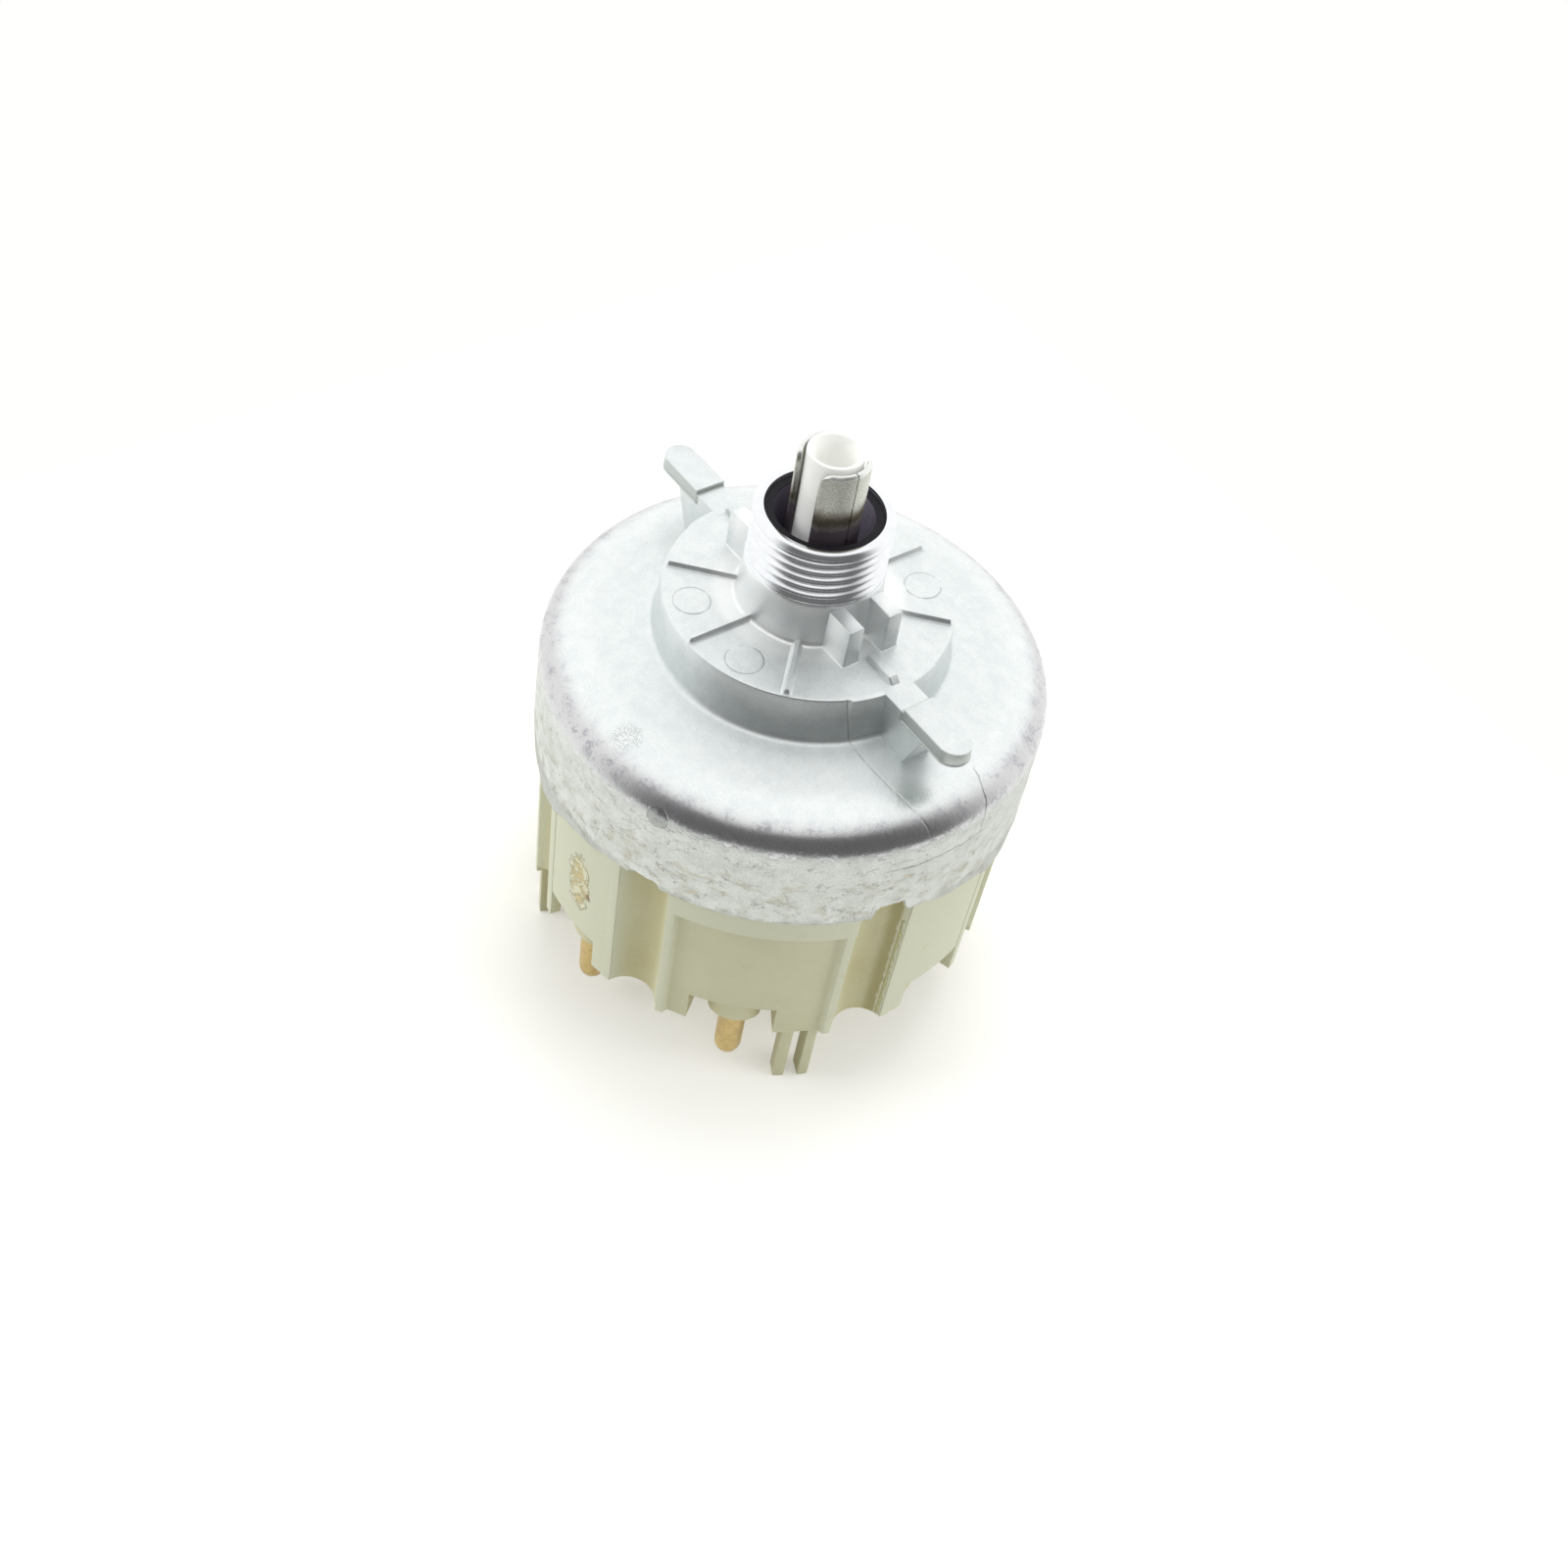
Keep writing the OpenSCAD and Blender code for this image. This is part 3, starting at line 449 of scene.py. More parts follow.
# %% The milky guide and the black plastic
def guide_plastic():
    f = Finish("guide_plastic")
    milk = f.noise(2.4, 2)
    fine = f.noise(0.4, 2)
    colour = f.mix(milk, srgb(240, 241, 236), srgb(246, 247, 244))
    # Painted light: the emission makes the guide glow a little, though nothing inside it is lit.
    return f.paint(Base_Color=colour, Roughness=0.3 + fine * 0.08, Normal=f.bump(fine * 0.006),
                   Subsurface_Weight=0.3, Subsurface_Radius=(1.0, 1.0, 0.97), Subsurface_Scale=0.6 * MM,
                   Emission_Color=(1.0, 1.0, 0.98), Emission_Strength=0.12)


LIT_WALL_LOW, LIT_WALL_TOP = (50, 52), (60.75, 60.85)


def black_plastic():
    """Black, with painted light: the walls inside the neck, away from the mouth's edge, are painted paler."""
    f = Finish("black_plastic")
    grain = f.noise(0.5, 3, 0.6)
    painted_tone = f.step(f.z, *LIT_WALL_LOW) * f.fall(f.z, *LIT_WALL_TOP)
    lit_wall_colour = f.mix(grain, srgb(158, 152, 172), srgb(138, 132, 150))
    colour = f.mix(painted_tone, f.mix(grain, srgb(26, 24, 30), srgb(18, 17, 22)), lit_wall_colour)
    return f.paint(Base_Color=colour, Roughness=0.5 + grain * 0.12, Normal=f.bump(grain * 0.008),
                   Specular_IOR_Level=0.2)


# %% A plain finish for the pieces inside
def plain_finish(name, light, dark, grain_size, roughness, metallic=0.0, depth=0.008, **more):
    """Only two close colours and a grain."""
    f = Finish(name)
    grain = f.noise(grain_size, 3, 0.6)
    colour = f.mix(f.step(grain, 0.3, 0.7), srgb(*light), srgb(*dark))
    return f.paint(Base_Color=colour, Metallic=metallic, Roughness=roughness + grain * 0.12,
                   Normal=f.bump(grain * depth), **more)


# %% Make every finish
finishes = {make.__name__: make() for make in (
    zinc_casting, machined_zinc, shaded_bore, base_plastic, pin_brass, sleeve_steel, guide_plastic,
    black_plastic)}
# light and dark colour, size of the grain, roughness, metallic, depth of the grain
PLAIN = {
    "ring_plastic": ((70, 71, 74), (58, 59, 62), 0.5, 0.45),
    "ivory_plastic": ((228, 220, 196), (216, 206, 180), 0.6, 0.42),
    "washer_brass": ((224, 196, 140), (202, 170, 112), 0.4, 0.3, 1.0),
    "contact_brass": ((214, 176, 118), (188, 148, 96), 0.4, 0.3, 1.0),
    "spring_steel": ((176, 177, 180), (146, 147, 152), 0.3, 0.26, 1.0),
    "ball_steel": ((222, 223, 226), (206, 207, 212), 0.4, 0.06, 1.0, 0.001),
    "bulb_glass": ((244, 246, 246), (236, 240, 240), 0.8, 0.03, 0.0, 0.002),
}
CLEAR = {"bulb_glass": {"Transmission_Weight": 0.9, "IOR": 1.5}}
for name, look in PLAIN.items():
    finishes[name] = plain_finish(name, *look, **CLEAR.get(name, {}))
print(len(finishes), "finishes:", ", ".join(sorted(finishes)))


# %% [markdown]
# ## Meshes made of rings
# Nearly every piece here is turned or moulded, so it can be built from closed rings of points
# joined by bands of faces. The maker below works in millimetres with each piece in its final
# place, merges the seams, turns the faces outwards and keeps only real edges sharp.

# %% The ring maker
MERGE = 1e-7
SHARP = math.radians(32)


class Maker:
    def __init__(self):
        self.points, self.faces, self.slots = [], [], []

    def ring(self, points):
        first = len(self.points)
        self.points.extend(points)
        return list(range(first, len(self.points)))

    def face(self, corners, slot=0):
        self.faces.append(tuple(corners))
        self.slots.append(slot)

    def band(self, low, high, slot=0):
        """Joins two closed rings of as many points; a ring of one point is a pole."""
        count = max(len(low), len(high))
        for i in range(count):
            j = (i + 1) % count
            if len(low) == 1:
                self.face((low[0], high[j], high[i]), slot)
            elif len(high) == 1:
                self.face((low[i], low[j], high[0]), slot)
            else:
                self.face((low[i], low[j], high[j], high[i]), slot)

    def lid(self, rings):
        """Closes a flat area inside the first ring and outside any others."""
        ids = [i for ring in rings for i in ring]
        loops = [[Vector(self.points[i]) for i in ring] for ring in rings]
        for triangle in geometry.tessellate_polygon(loops):
            self.face([ids[k] for k in triangle])

    def lathe(self, profile, sides, slots=None, bend=None, closed=True):
        """Spins (radius, height) pairs round the axis; bend moves each point."""
        rings = []
        for radius, height in profile:
            if radius == 0:
                rings.append(self.ring([(0, 0, height)]))
                continue
            ring = []
            for i in range(sides):
                turn = 360 * i / sides
                r, z = bend(radius, height, turn) if bend else (radius, height)
                ring.append((*polar(r, turn), z))
            rings.append(self.ring(ring))
        pairs = list(zip(rings, rings[1:])) + ([(rings[-1], rings[0])] if closed else [])
        for k, (low, high) in enumerate(pairs):
            self.band(low, high, slots[k] if slots else 0)
        return rings

    def prism(self, outline, levels, holes=()):
        """Stacks a flat outline at each (height, inset) from the bottom up, with straight holes."""
        rings = [self.ring([(x, y, z) for x, y in inset(outline, d)]) for z, d in levels]
        for low, high in zip(rings, rings[1:]):
            self.band(low, high)
        low_z, high_z = levels[0][0], levels[-1][0]
        lows = [self.ring([(x, y, low_z) for x, y in hole]) for hole in holes]
        highs = [self.ring([(x, y, high_z) for x, y in hole]) for hole in holes]
        for low, high in zip(lows, highs):
            self.band(high, low)
        self.lid([rings[0], *lows])
        self.lid([rings[-1], *highs])

    def mesh(self, name, *materials):
        data = bpy.data.meshes.new(name)
        data.from_pydata([tuple(c * MM for c in p) for p in self.points], [], self.faces)
        for material in materials:
            data.materials.append(finishes[material])
        data.polygons.foreach_set("material_index", self.slots)
        return data


# %% Outlines with soft corners
def inset(outline, distance):
    """An outline moved inwards by distance, or outwards where it is negative."""
    if distance == 0:
        return outline
    moved, count = [], len(outline)
    for i, (x, y) in enumerate(outline):
        (ax, ay), (bx, by) = outline[i - 1], outline[(i + 1) % count]
        a, b = Vector((x - ax, y - ay)).normalized(), Vector((bx - x, by - y)).normalized()
        normal = Vector((-(a.y + b.y), a.x + b.x))
        share = max(0.35, a.dot(b) * 0.5 + 0.5)
        normal = normal.normalized() / math.sqrt(share)
        moved.append((x + normal.x * distance, y + normal.y * distance))
    return moved


def rounded(outline, radius, steps=3, least=18):
    """An outline whose corners sharper than least degrees are rounded."""
    result, count = [], len(outline)
    for i, (x, y) in enumerate(outline):
        here = Vector((x, y))
        back, ahead = Vector(outline[i - 1]) - here, Vector(outline[(i + 1) % count]) - here
        bend = math.degrees(math.pi - back.angle(ahead))
        if bend < least:
            result.append((x, y))
            continue
        reach = min(radius * math.tan(math.radians(bend) / 2), back.length * 0.45, ahead.length * 0.45)
        a, b = here + back.normalized() * reach, here + ahead.normalized() * reach
        for k in range(steps + 1):
            t = k / steps
            result.append(tuple(a * (1 - t) ** 2 + here * 2 * t * (1 - t) + b * t * t))
    return result


def block(low, high, radius):
    """The rounded outline of a rectangle between two corners."""
    return rounded([low, (high[0], low[1]), high, (low[0], high[1])], radius)


# %% Merge, smooth and place
def tidy(data):
    """Merges a mesh's seams, turns its faces outwards and smooths all but its real edges."""
    bm = bmesh.new()
    bm.from_mesh(data)
    bmesh.ops.remove_doubles(bm, verts=bm.verts, dist=MERGE)
    bmesh.ops.dissolve_degenerate(bm, edges=bm.edges, dist=MERGE)
    bmesh.ops.recalc_face_normals(bm, faces=bm.faces)
    open_edges = sum(1 for e in bm.edges if not e.is_manifold)
    bm.to_mesh(data)
    bm.free()
    data.shade_smooth()
    data.set_sharp_from_angle(angle=SHARP)
    return open_edges


def place(name, data, body, slot, *replaced):
    """Puts a finished mesh on its body, in the place of its CAD nodes."""
    open_edges = tidy(data)
    piece = bpy.data.objects.new(name, data)
    bpy.context.scene.collection.objects.link(piece)
    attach(piece, body)
    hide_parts(*replaced)
    print(f"{name}: {len(data.polygons)} faces, {open_edges} open edges")


# %% [markdown]
# ## The casting's shell
# The housing's outside is one curve spun round the axis: a slightly tapered skirt, a shoulder
# shaped like a soft square, a sloping dome, a small bright fillet and the hub. Spinning gives
# the true shape, and a bend function then adds what a lathe can't: shallow dents in the rough
# skirt, its uneven lower edge, the notches over the base's flutes and the step of the die.

# %% The dome's curve, and help with curves
DOME_SLOPE, SHOULDER_POWER = 0.13, 4.27


def dome(foot_r, foot_z, edge_r, edge_z, steps):
    """Points from the foot of the hub out and down to the skirt."""
    points = []
    for i in range(steps + 1):
        t = math.radians(90 * i / steps)
        share = max(math.sin(t), 0) ** (2 / SHOULDER_POWER)
        r = foot_r + (edge_r - foot_r) * share
        rise = foot_z - edge_z - DOME_SLOPE * (r - foot_r)
        points.append((r, edge_z + rise * max(math.cos(t), 0) ** (2 / SHOULDER_POWER)))
    return points


def spaced(points, gap):
    """The same curve with points about gap apart."""
    result = [points[0]]
    for a, b in zip(points, points[1:]):
        count = max(1, round(math.dist(a, b) / gap))
        for k in range(1, count + 1):
            t = k / count
            result.append((a[0] + (b[0] - a[0]) * t, a[1] + (b[1] - a[1]) * t))
    return result


def thinned(points, gap):
    """The same curve without points closer together than gap."""
    result = [points[0]]
    for p in points[1:-1]:
        if math.dist(p, result[-1]) >= gap:
            result.append(p)
    return result + [points[-1]]


def arc_between(a, corner, b, steps):
    """A smooth fillet from a to b that stays inside the corner."""
    curve = []
    for k in range(steps + 1):
        t = k / steps
        curve.append(tuple(
            p * (1 - t) ** 2 + q * 2 * t * (1 - t) + r * t * t for p, q, r in zip(a, corner, b)))
    return curve


# %% The casting's profile
SIDES = 432
SKIRT_R, SHOULDER_R, SHOULDER_Z = 26.82, 26.67, 38.3
HUB_FOOT_R, HUB_R = 15.42, 14.83
WALL = 1.7
POCKET_R, POCKET_TOP, NECK_SEAT_R = 13.2, 48.4, 6.6


def shell_profile():
    outside = dome(HUB_FOOT_R, DOME_Z, SHOULDER_R, SHOULDER_Z, 400)
    outside = thinned(outside[::-1], 0.36)
    foot = DOME_Z - DOME_SLOPE * 0.7
    outside = [p for p in outside if p[0] > HUB_FOOT_R + 0.8]
    skirt = spaced([(SKIRT_R, RIM_Z + 0.14), (SHOULDER_R, SHOULDER_Z - 0.36)], 0.38)
    fillet = arc_between((HUB_FOOT_R + 0.7, foot), (HUB_FOOT_R, DOME_Z), (HUB_FOOT_R - 0.07, DOME_Z + 0.65), 6)
    wall = spaced([(HUB_FOOT_R - 0.14, DOME_Z + 1.2), (HUB_R + 0.02, HUB_TOP_Z - 0.16)], 0.9)
    edge = [(HUB_R, HUB_TOP_Z - 0.1), (HUB_R - 0.06, HUB_TOP_Z - 0.02), (HUB_R - 0.16, HUB_TOP_Z)]
    top = spaced([(HUB_R - 0.5, HUB_TOP_Z), (NECK_SEAT_R, HUB_TOP_Z)], 2.6)
    roof = DOME_Z - WALL
    inside = dome(POCKET_R, roof, SKIRT_R - WALL, SHOULDER_Z - 1, 12)
    low = [(SKIRT_R - WALL, RIM_Z + 3), (SKIRT_R - WALL, RIM_Z), (SKIRT_R - 0.14, RIM_Z)]
    return skirt + outside + fillet + wall + edge + top + [
        (NECK_SEAT_R, POCKET_TOP), (POCKET_R, POCKET_TOP)] + inside + low


profile = shell_profile()
print(len(profile), "points in the casting's profile")

# %% [markdown]
# The notches stand over the flutes beside the two long panels, and the edge dips low over the
# other flutes. Each came out of the die a little differently. The dents come from smooth noise
# in space, so they have no seam where the spin closes.

# %% Bend the casting
BASE_TURN = -39.8
FLUTE_TURNS = (27.55, 66.1)
NOTCH_HALF, NOTCH_SOFT = 4.0, 0.9
BEND_TOP = RIM_Z + 3.2
PAD_HALF, PAD_RISE, PAD_LOW = 20.5, 0.14, DOME_Z + 0.3
notches = []
for half in (0, 180):
    for side, height in ((-1, 0.75), (1, 1.9)):
        notches.append((BASE_TURN + half + side * FLUTE_TURNS[0], height))
DIP = ((0, 0.1), (34, 0.1), (45, -0.75), (52, -1.2), (59, -2.8), (66, -2.9), (72, -1.6), (79, -0.3), (90, 0.0))


def gap_between(a, b):
    """The turn from b to a, from -180 to 180 degrees."""
    return (a - b + 180) % 360 - 180


def soft(value, low, high):
    t = min(1.0, max(0.0, (value - low) / (high - low)))
    return t * t * (3 - 2 * t)


def edge_height(turn):
    """How far the skirt's lower edge stands above the joint at a turn."""
    spot = Vector((*polar(SKIRT_R, turn), 0))
    from_front = abs(gap_between(2 * (turn - BASE_TURN), 0)) / 2
    (a, low), (b, high) = next(pair for pair in zip(DIP, DIP[1:]) if from_front <= pair[1][0])
    rise = low + (high - low) * soft(from_front, a, b)
    rise += -0.1 + 0.16 * abs(noise.noise(spot * 0.33)) + 0.09 * abs(noise.noise(spot * 1.3))
    for at, height in notches:
        off = abs(gap_between(turn, at)) + 0.35 * noise.noise(spot * 0.9)
        inside = 1 - soft(off, NOTCH_HALF - NOTCH_SOFT, NOTCH_HALF + NOTCH_SOFT * 0.5)
        ragged = 0.16 * noise.noise(spot * 1.1) + 0.1 * noise.noise(spot * 3.1)
        rise = max(rise, (height + ragged) * inside - 0.3 * (1 - inside)) if inside > 0 else rise
    return rise


# %% The dents, and the shell
def bend_casting(r, z, turn):
    spot = Vector((*polar(r, turn), z))
    if r > SKIRT_R - WALL - 0.5 and z < BEND_TOP:
        z += edge_height(turn) * (BEND_TOP - z) / (BEND_TOP - RIM_Z)
    if z < SHOULDER_Z + 4 and r > SKIRT_R - 1.2:
        rough = 1 - soft(z, SHOULDER_Z + 0.8, SHOULDER_Z + 3.4)
        dents = 0.05 * (noise.noise(spot * 0.42) + 0.55) + 0.035 * (noise.noise(spot * 1.05) + 0.5)
        r -= rough * max(0.0, dents) + 0.02 * (noise.noise(spot * 0.12) + 0.6)
    if HUB_R - 0.2 < r < HUB_FOOT_R + 0.1 and PAD_LOW < z < HUB_TOP_Z - 0.05:
        if min(abs(gap_between(turn, 0)), abs(gap_between(turn, 180))) < PAD_HALF:
            r += PAD_RISE
    return r, z


casting = Maker()
casting.lathe(profile, SIDES, bend=bend_casting)
print(len(casting.faces), "faces in the shell")

# %% [markdown]
# ## A neck with a real thread
# The thread follows a rule: its radius depends only on how far a point is along the helix. A
# Geometry Nodes tree can bend a plain grid by that rule, so pitch, depth and length stay as
# named inputs. The thread starts from nothing over its first turn, as a cut thread does.

# %% Build a node tree with named inputs
def node_tree(name, sockets):
    """A Geometry Nodes tree, its graph and a wire for each named input."""
    tree = bpy.data.node_groups.new(name, "GeometryNodeTree")
    tree.interface.new_socket(name="Geometry", in_out="INPUT", socket_type="NodeSocketGeometry")
    for label, kind in sockets.items():
        tree.interface.new_socket(name=label, in_out="INPUT", socket_type="NodeSocket" + kind)
    tree.interface.new_socket(name="Geometry", in_out="OUTPUT", socket_type="NodeSocketGeometry")
    graph = Graph(tree)
    start = graph.add("NodeGroupInput")
    wires = {label: graph.also(start, label) for label in sockets}
    return tree, graph, wires


def close_tree(graph, shape, finish):
    """Ends a tree: real geometry with its finish."""
    solid = graph.add("GeometryNodeRealizeInstances", inputs={"Geometry": shape})
    done = graph.add("GeometryNodeSetMaterial", inputs={"Geometry": solid, "Material": finish})
    graph.add("NodeGroupOutput", inputs={"Geometry": done})


def grown(tree, **values):
    """The plain mesh that a tree makes with these inputs."""
    host = bpy.data.objects.new("host", bpy.data.meshes.new("host"))
    bpy.context.scene.collection.objects.link(host)
    modifier = host.modifiers.new("tree", "NODES")
    modifier.node_group = tree
    named = {key.replace("_", " "): value for key, value in values.items()}
    for item in tree.interface.items_tree:
        if item.in_out == "INPUT" and item.name in named:
            modifier[item.identifier] = named[item.name]
    depsgraph = bpy.context.evaluated_depsgraph_get()
    data = bpy.data.meshes.new_from_object(host.evaluated_get(depsgraph), depsgraph=depsgraph)
    host.modifiers.remove(modifier)
    bpy.data.objects.remove(host)
    return data


# %% The thread's tree
def thread_tree():
    lengths = ("Low", "High", "Pitch", "Root Radius", "Crest Radius", "Run Out", "Lead In")
    counts = ("Sides", "Rows", "Rows per Pitch")
    sockets = {**{n: "Int" for n in counts}, **{n: "Float" for n in lengths}, "Finish": "Material"}
    tree, g, at = node_tree("thread", sockets)
    inputs = {"Size X": 1.0, "Size Y": 1.0, "Vertices X": at["Sides"] + 1, "Vertices Y": at["Rows"]}
    grid = g.add("GeometryNodeMeshGrid", inputs=inputs)
    across = g.add("ShaderNodeSeparateXYZ", inputs={0: g.add("GeometryNodeInputPosition")})
    turns = across + 0.5
    row = (g.also(across, "Y") + 0.5) * (at["Rows"] - 1) / at["Rows per Pitch"]
    climb = at["Low"] + at["Pitch"] * (row + turns - 1)
    z = g.add("ShaderNodeClamp", inputs={"Value": climb, "Min": at["Low"], "Max": at["High"]})
    wave = g.add("ShaderNodeMath", {"operation": "COSINE"}, {0: row * TURN})
    runs = []
    for length, (start, end) in {"Run Out": ("Low", 1), "Lead In": ("High", -1)}.items():
        inputs = {"Value": z, "From Min": at[start], "From Max": at[start] + at[length] * end}
        runs.append(g.add("ShaderNodeMapRange", {"interpolation_type": "SMOOTHSTEP"}, inputs))
    depth = (at["Crest Radius"] - at["Root Radius"]) * (0.5 - wave * 0.5) * runs[0] * runs[1]
    radius = at["Crest Radius"] - depth
    angle = turns * TURN
    cosine = g.add("ShaderNodeMath", {"operation": "COSINE"}, {0: angle})
    sine = g.add("ShaderNodeMath", {"operation": "SINE"}, {0: angle})
    spot = g.add("ShaderNodeCombineXYZ", inputs={0: radius * cosine, 1: radius * sine, 2: z})
    bent = g.add("GeometryNodeSetPosition", inputs={"Geometry": grid, "Position": spot})
    shut = g.add("GeometryNodeMergeByDistance", inputs={"Geometry": bent, "Distance": MERGE})
    close_tree(g, shut, at["Finish"])
    return tree


# %% The thread
NECK_SIDES, ROWS_PER_PITCH = 256, 14
THREAD_LOW, THREAD_HIGH, MOUTH_Z = 55.15, 60.8, 61.3
CREST_R, ROOT_R, PITCH = 6.99, 6.5, 1.0
THREAD_ROWS = math.ceil((THREAD_HIGH - THREAD_LOW + PITCH) / PITCH * ROWS_PER_PITCH) + 2
BORE_R = 5.9
thread = grown(
    thread_tree(), Sides=NECK_SIDES, Rows=THREAD_ROWS, Rows_per_Pitch=ROWS_PER_PITCH,
    Low=THREAD_LOW * MM, High=THREAD_HIGH * MM, Pitch=PITCH * MM, Root_Radius=ROOT_R * MM,
    Crest_Radius=CREST_R * MM, Run_Out=0.8 * MM, Lead_In=0.35 * MM, Finish=finishes["machined_zinc"])
print("thread:", len(thread.polygons), "faces")

# %% [markdown]
# The cast part of the neck is a little lobed and widens into a fillet at the hub. Its rings
# have as many points as the thread's, so the bands join the thread's own rims.

# %% Join thread, neck and bore
def sorted_rim(maker, first, height):
    """The thread's points at one height, in order round the axis."""
    rim = [i for i in range(first, len(maker.points)) if abs(maker.points[i][2] - height) < 1e-4]
    return sorted(rim, key=lambda i: math.atan2(maker.points[i][1], maker.points[i][0]) % TURN)


def take(maker, data, matrix=Matrix.Identity(4), slot=0):
    """Adds a plain mesh, in metres, to a maker."""
    first = len(maker.points)
    maker.points.extend(tuple(c / MM for c in matrix @ v.co) for v in data.vertices)
    for polygon in data.polygons:
        maker.face([first + i for i in polygon.vertices], slot)
    return first


def bend_neck(r, z, turn):
    lobes = 0.07 * math.cos(math.radians(6 * (turn - 14))) * soft(THREAD_LOW - z, 0, 1.2)
    return (r + lobes if r > BORE_R + 0.8 else r), z


neck_low = [(7.5, POCKET_TOP + 0.1), (7.95, HUB_TOP_Z - 0.05)]
neck_low += arc_between((7.85, HUB_TOP_Z), (7.46, HUB_TOP_Z), (7.42, HUB_TOP_Z + 0.5), 4)
neck_low += spaced([(7.4, HUB_TOP_Z + 0.8), (7.12, THREAD_LOW - 0.35)], 0.7) + [(7.05, THREAD_LOW - 0.06)]
mouth = [(6.74, MOUTH_Z - 0.22), (6.62, MOUTH_Z - 0.1), (6.5, MOUTH_Z - 0.03), (6.38, MOUTH_Z),
         (6.06, MOUTH_Z), (5.95, MOUTH_Z - 0.06), (BORE_R, MOUTH_Z - 0.2)]
mouth += [(BORE_R - 0.01, z) for z in (MOUTH_Z - 0.3, MOUTH_Z - 3.3, POCKET_TOP + 0.1)]
first = take(casting, thread, slot=1)
low_rings = casting.lathe(neck_low, NECK_SIDES, bend=bend_neck, closed=False)
high_rings = casting.lathe(mouth, NECK_SIDES, slots=[1] * (len(mouth) - 3) + [2] * 3, closed=False)
casting.band(low_rings[-1], sorted_rim(casting, first, THREAD_LOW), 1)
casting.band(sorted_rim(casting, first, THREAD_HIGH), high_rings[0], 1)
casting.band(high_rings[-1], low_rings[0], 2)
print(len(casting.faces), "faces with the neck")

# %% [markdown]
# ## Ribs, lugs and arms
# What stands on the hub comes in sets: radial ribs every 45 degrees, the ejector pins' round
# marks, and a pair of lugs and a locking arm on each side. Each shape is made once on the X
# axis, and a small Geometry Nodes tree sets copies of it round the axis. Every one has a
# flared foot and soft upper edges, because molten zinc doesn't fill a sharp corner.

# %% A tree that sets copies round the axis
def copies_tree():
    sockets = {"Piece": "Object", "Count": "Int", "First Turn": "Float", "Step": "Float", "Finish": "Material"}
    tree, g, at = node_tree("copies_round_axis", sockets)
    piece = g.add("GeometryNodeObjectInfo", inputs={"Object": at["Piece"]})
    spots = g.add("GeometryNodePoints", inputs={"Count": at["Count"]})
    turn = (at["First Turn"] + at["Step"] * g.add("GeometryNodeInputIndex")) * (TURN / 360)
    turn = g.add("ShaderNodeCombineXYZ", inputs={2: turn})
    turn = g.add("FunctionNodeEulerToRotation", inputs={0: turn})
    shape = g.also(piece, "Geometry")
    inputs = {"Points": spots, "Instance": shape, "Rotation": turn}
    close_tree(g, g.add("GeometryNodeInstanceOnPoints", inputs=inputs), at["Finish"])
    return tree


copies = copies_tree()
print("the tree for copies has", len(copies.nodes), "nodes")


def set_round(maker, finish, first_turn, step=0.0, count=1):
    """One mesh with copies of a maker's shape at regular turns."""
    pattern = bpy.data.objects.new("pattern", maker.mesh("pattern"))
    data = grown(copies, Piece=pattern, Count=count, First_Turn=float(first_turn), Step=float(step),
                 Finish=finishes[finish])
    bpy.data.objects.remove(pattern)
    return data


# %% The shapes on the hub
RIB_W, RIB_TOP = 0.62, HUB_TOP_Z + 0.52
rib = Maker()
rib.prism(block((7.2, -RIB_W / 2), (14.48, RIB_W / 2), 0.2), [
    (HUB_TOP_Z - 0.1, -0.3), (HUB_TOP_Z + 0.02, -0.26), (HUB_TOP_Z + 0.1, -0.12),
    (HUB_TOP_Z + 0.24, -0.02), (RIB_TOP - 0.1, 0.04), (RIB_TOP, 0.13)])
mark = Maker()
circle = [polar(EJECTOR_R, a) for a in range(0, 360, 6)]
mark.prism([(x + EJECTOR_CIRCLE_R, y) for x, y in circle], [
    (HUB_TOP_Z - 0.1, 0.0), (HUB_TOP_Z + 0.015, 0.0), (HUB_TOP_Z + 0.03, 0.04), (HUB_TOP_Z + 0.03, 0.3)])
LUG_IN, LUG_OUT, LUG_GAP, LUG_W, LUG_TOP = 6.6, 10.1, 1.45, 1.85, 54.7
lugs = Maker()
for side in (-1, 1):
    near, far = sorted((side * LUG_GAP, side * (LUG_GAP + LUG_W)))
    lugs.prism(block((LUG_IN, near), (LUG_OUT, far), 0.14), [
        (HUB_TOP_Z - 0.2, -0.24), (HUB_TOP_Z + 0.03, -0.2), (HUB_TOP_Z + 0.12, -0.07),
        (HUB_TOP_Z + 0.3, 0.0), (LUG_TOP - 0.12, 0.06), (LUG_TOP - 0.03, 0.1), (LUG_TOP, 0.18)])
upright = Matrix(((1, 0, 0, 0), (0, 0, -1, 0), (0, 1, 0, 0), (0, 0, 0, 1)))
BAR_HALF, BAR_TOP = 0.52, HUB_TOP_Z + 0.62
bar_side = [(LUG_OUT, HUB_TOP_Z - 0.1), (14.5, HUB_TOP_Z - 0.1), (13.7, BAR_TOP), (LUG_OUT, BAR_TOP)]
bar_side = rounded(bar_side, 0.1)
flat_bar, bar = Maker(), Maker()
flat_bar.prism(bar_side, [(-BAR_HALF, 0.1), (-BAR_HALF + 0.1, 0.0), (BAR_HALF - 0.1, 0.0), (BAR_HALF, 0.1)])
take(bar, flat_bar.mesh("bar"), upright)
print("faces: rib", len(rib.faces), "mark", len(mark.faces), "lugs", len(lugs.faces), "bar", len(bar.faces))

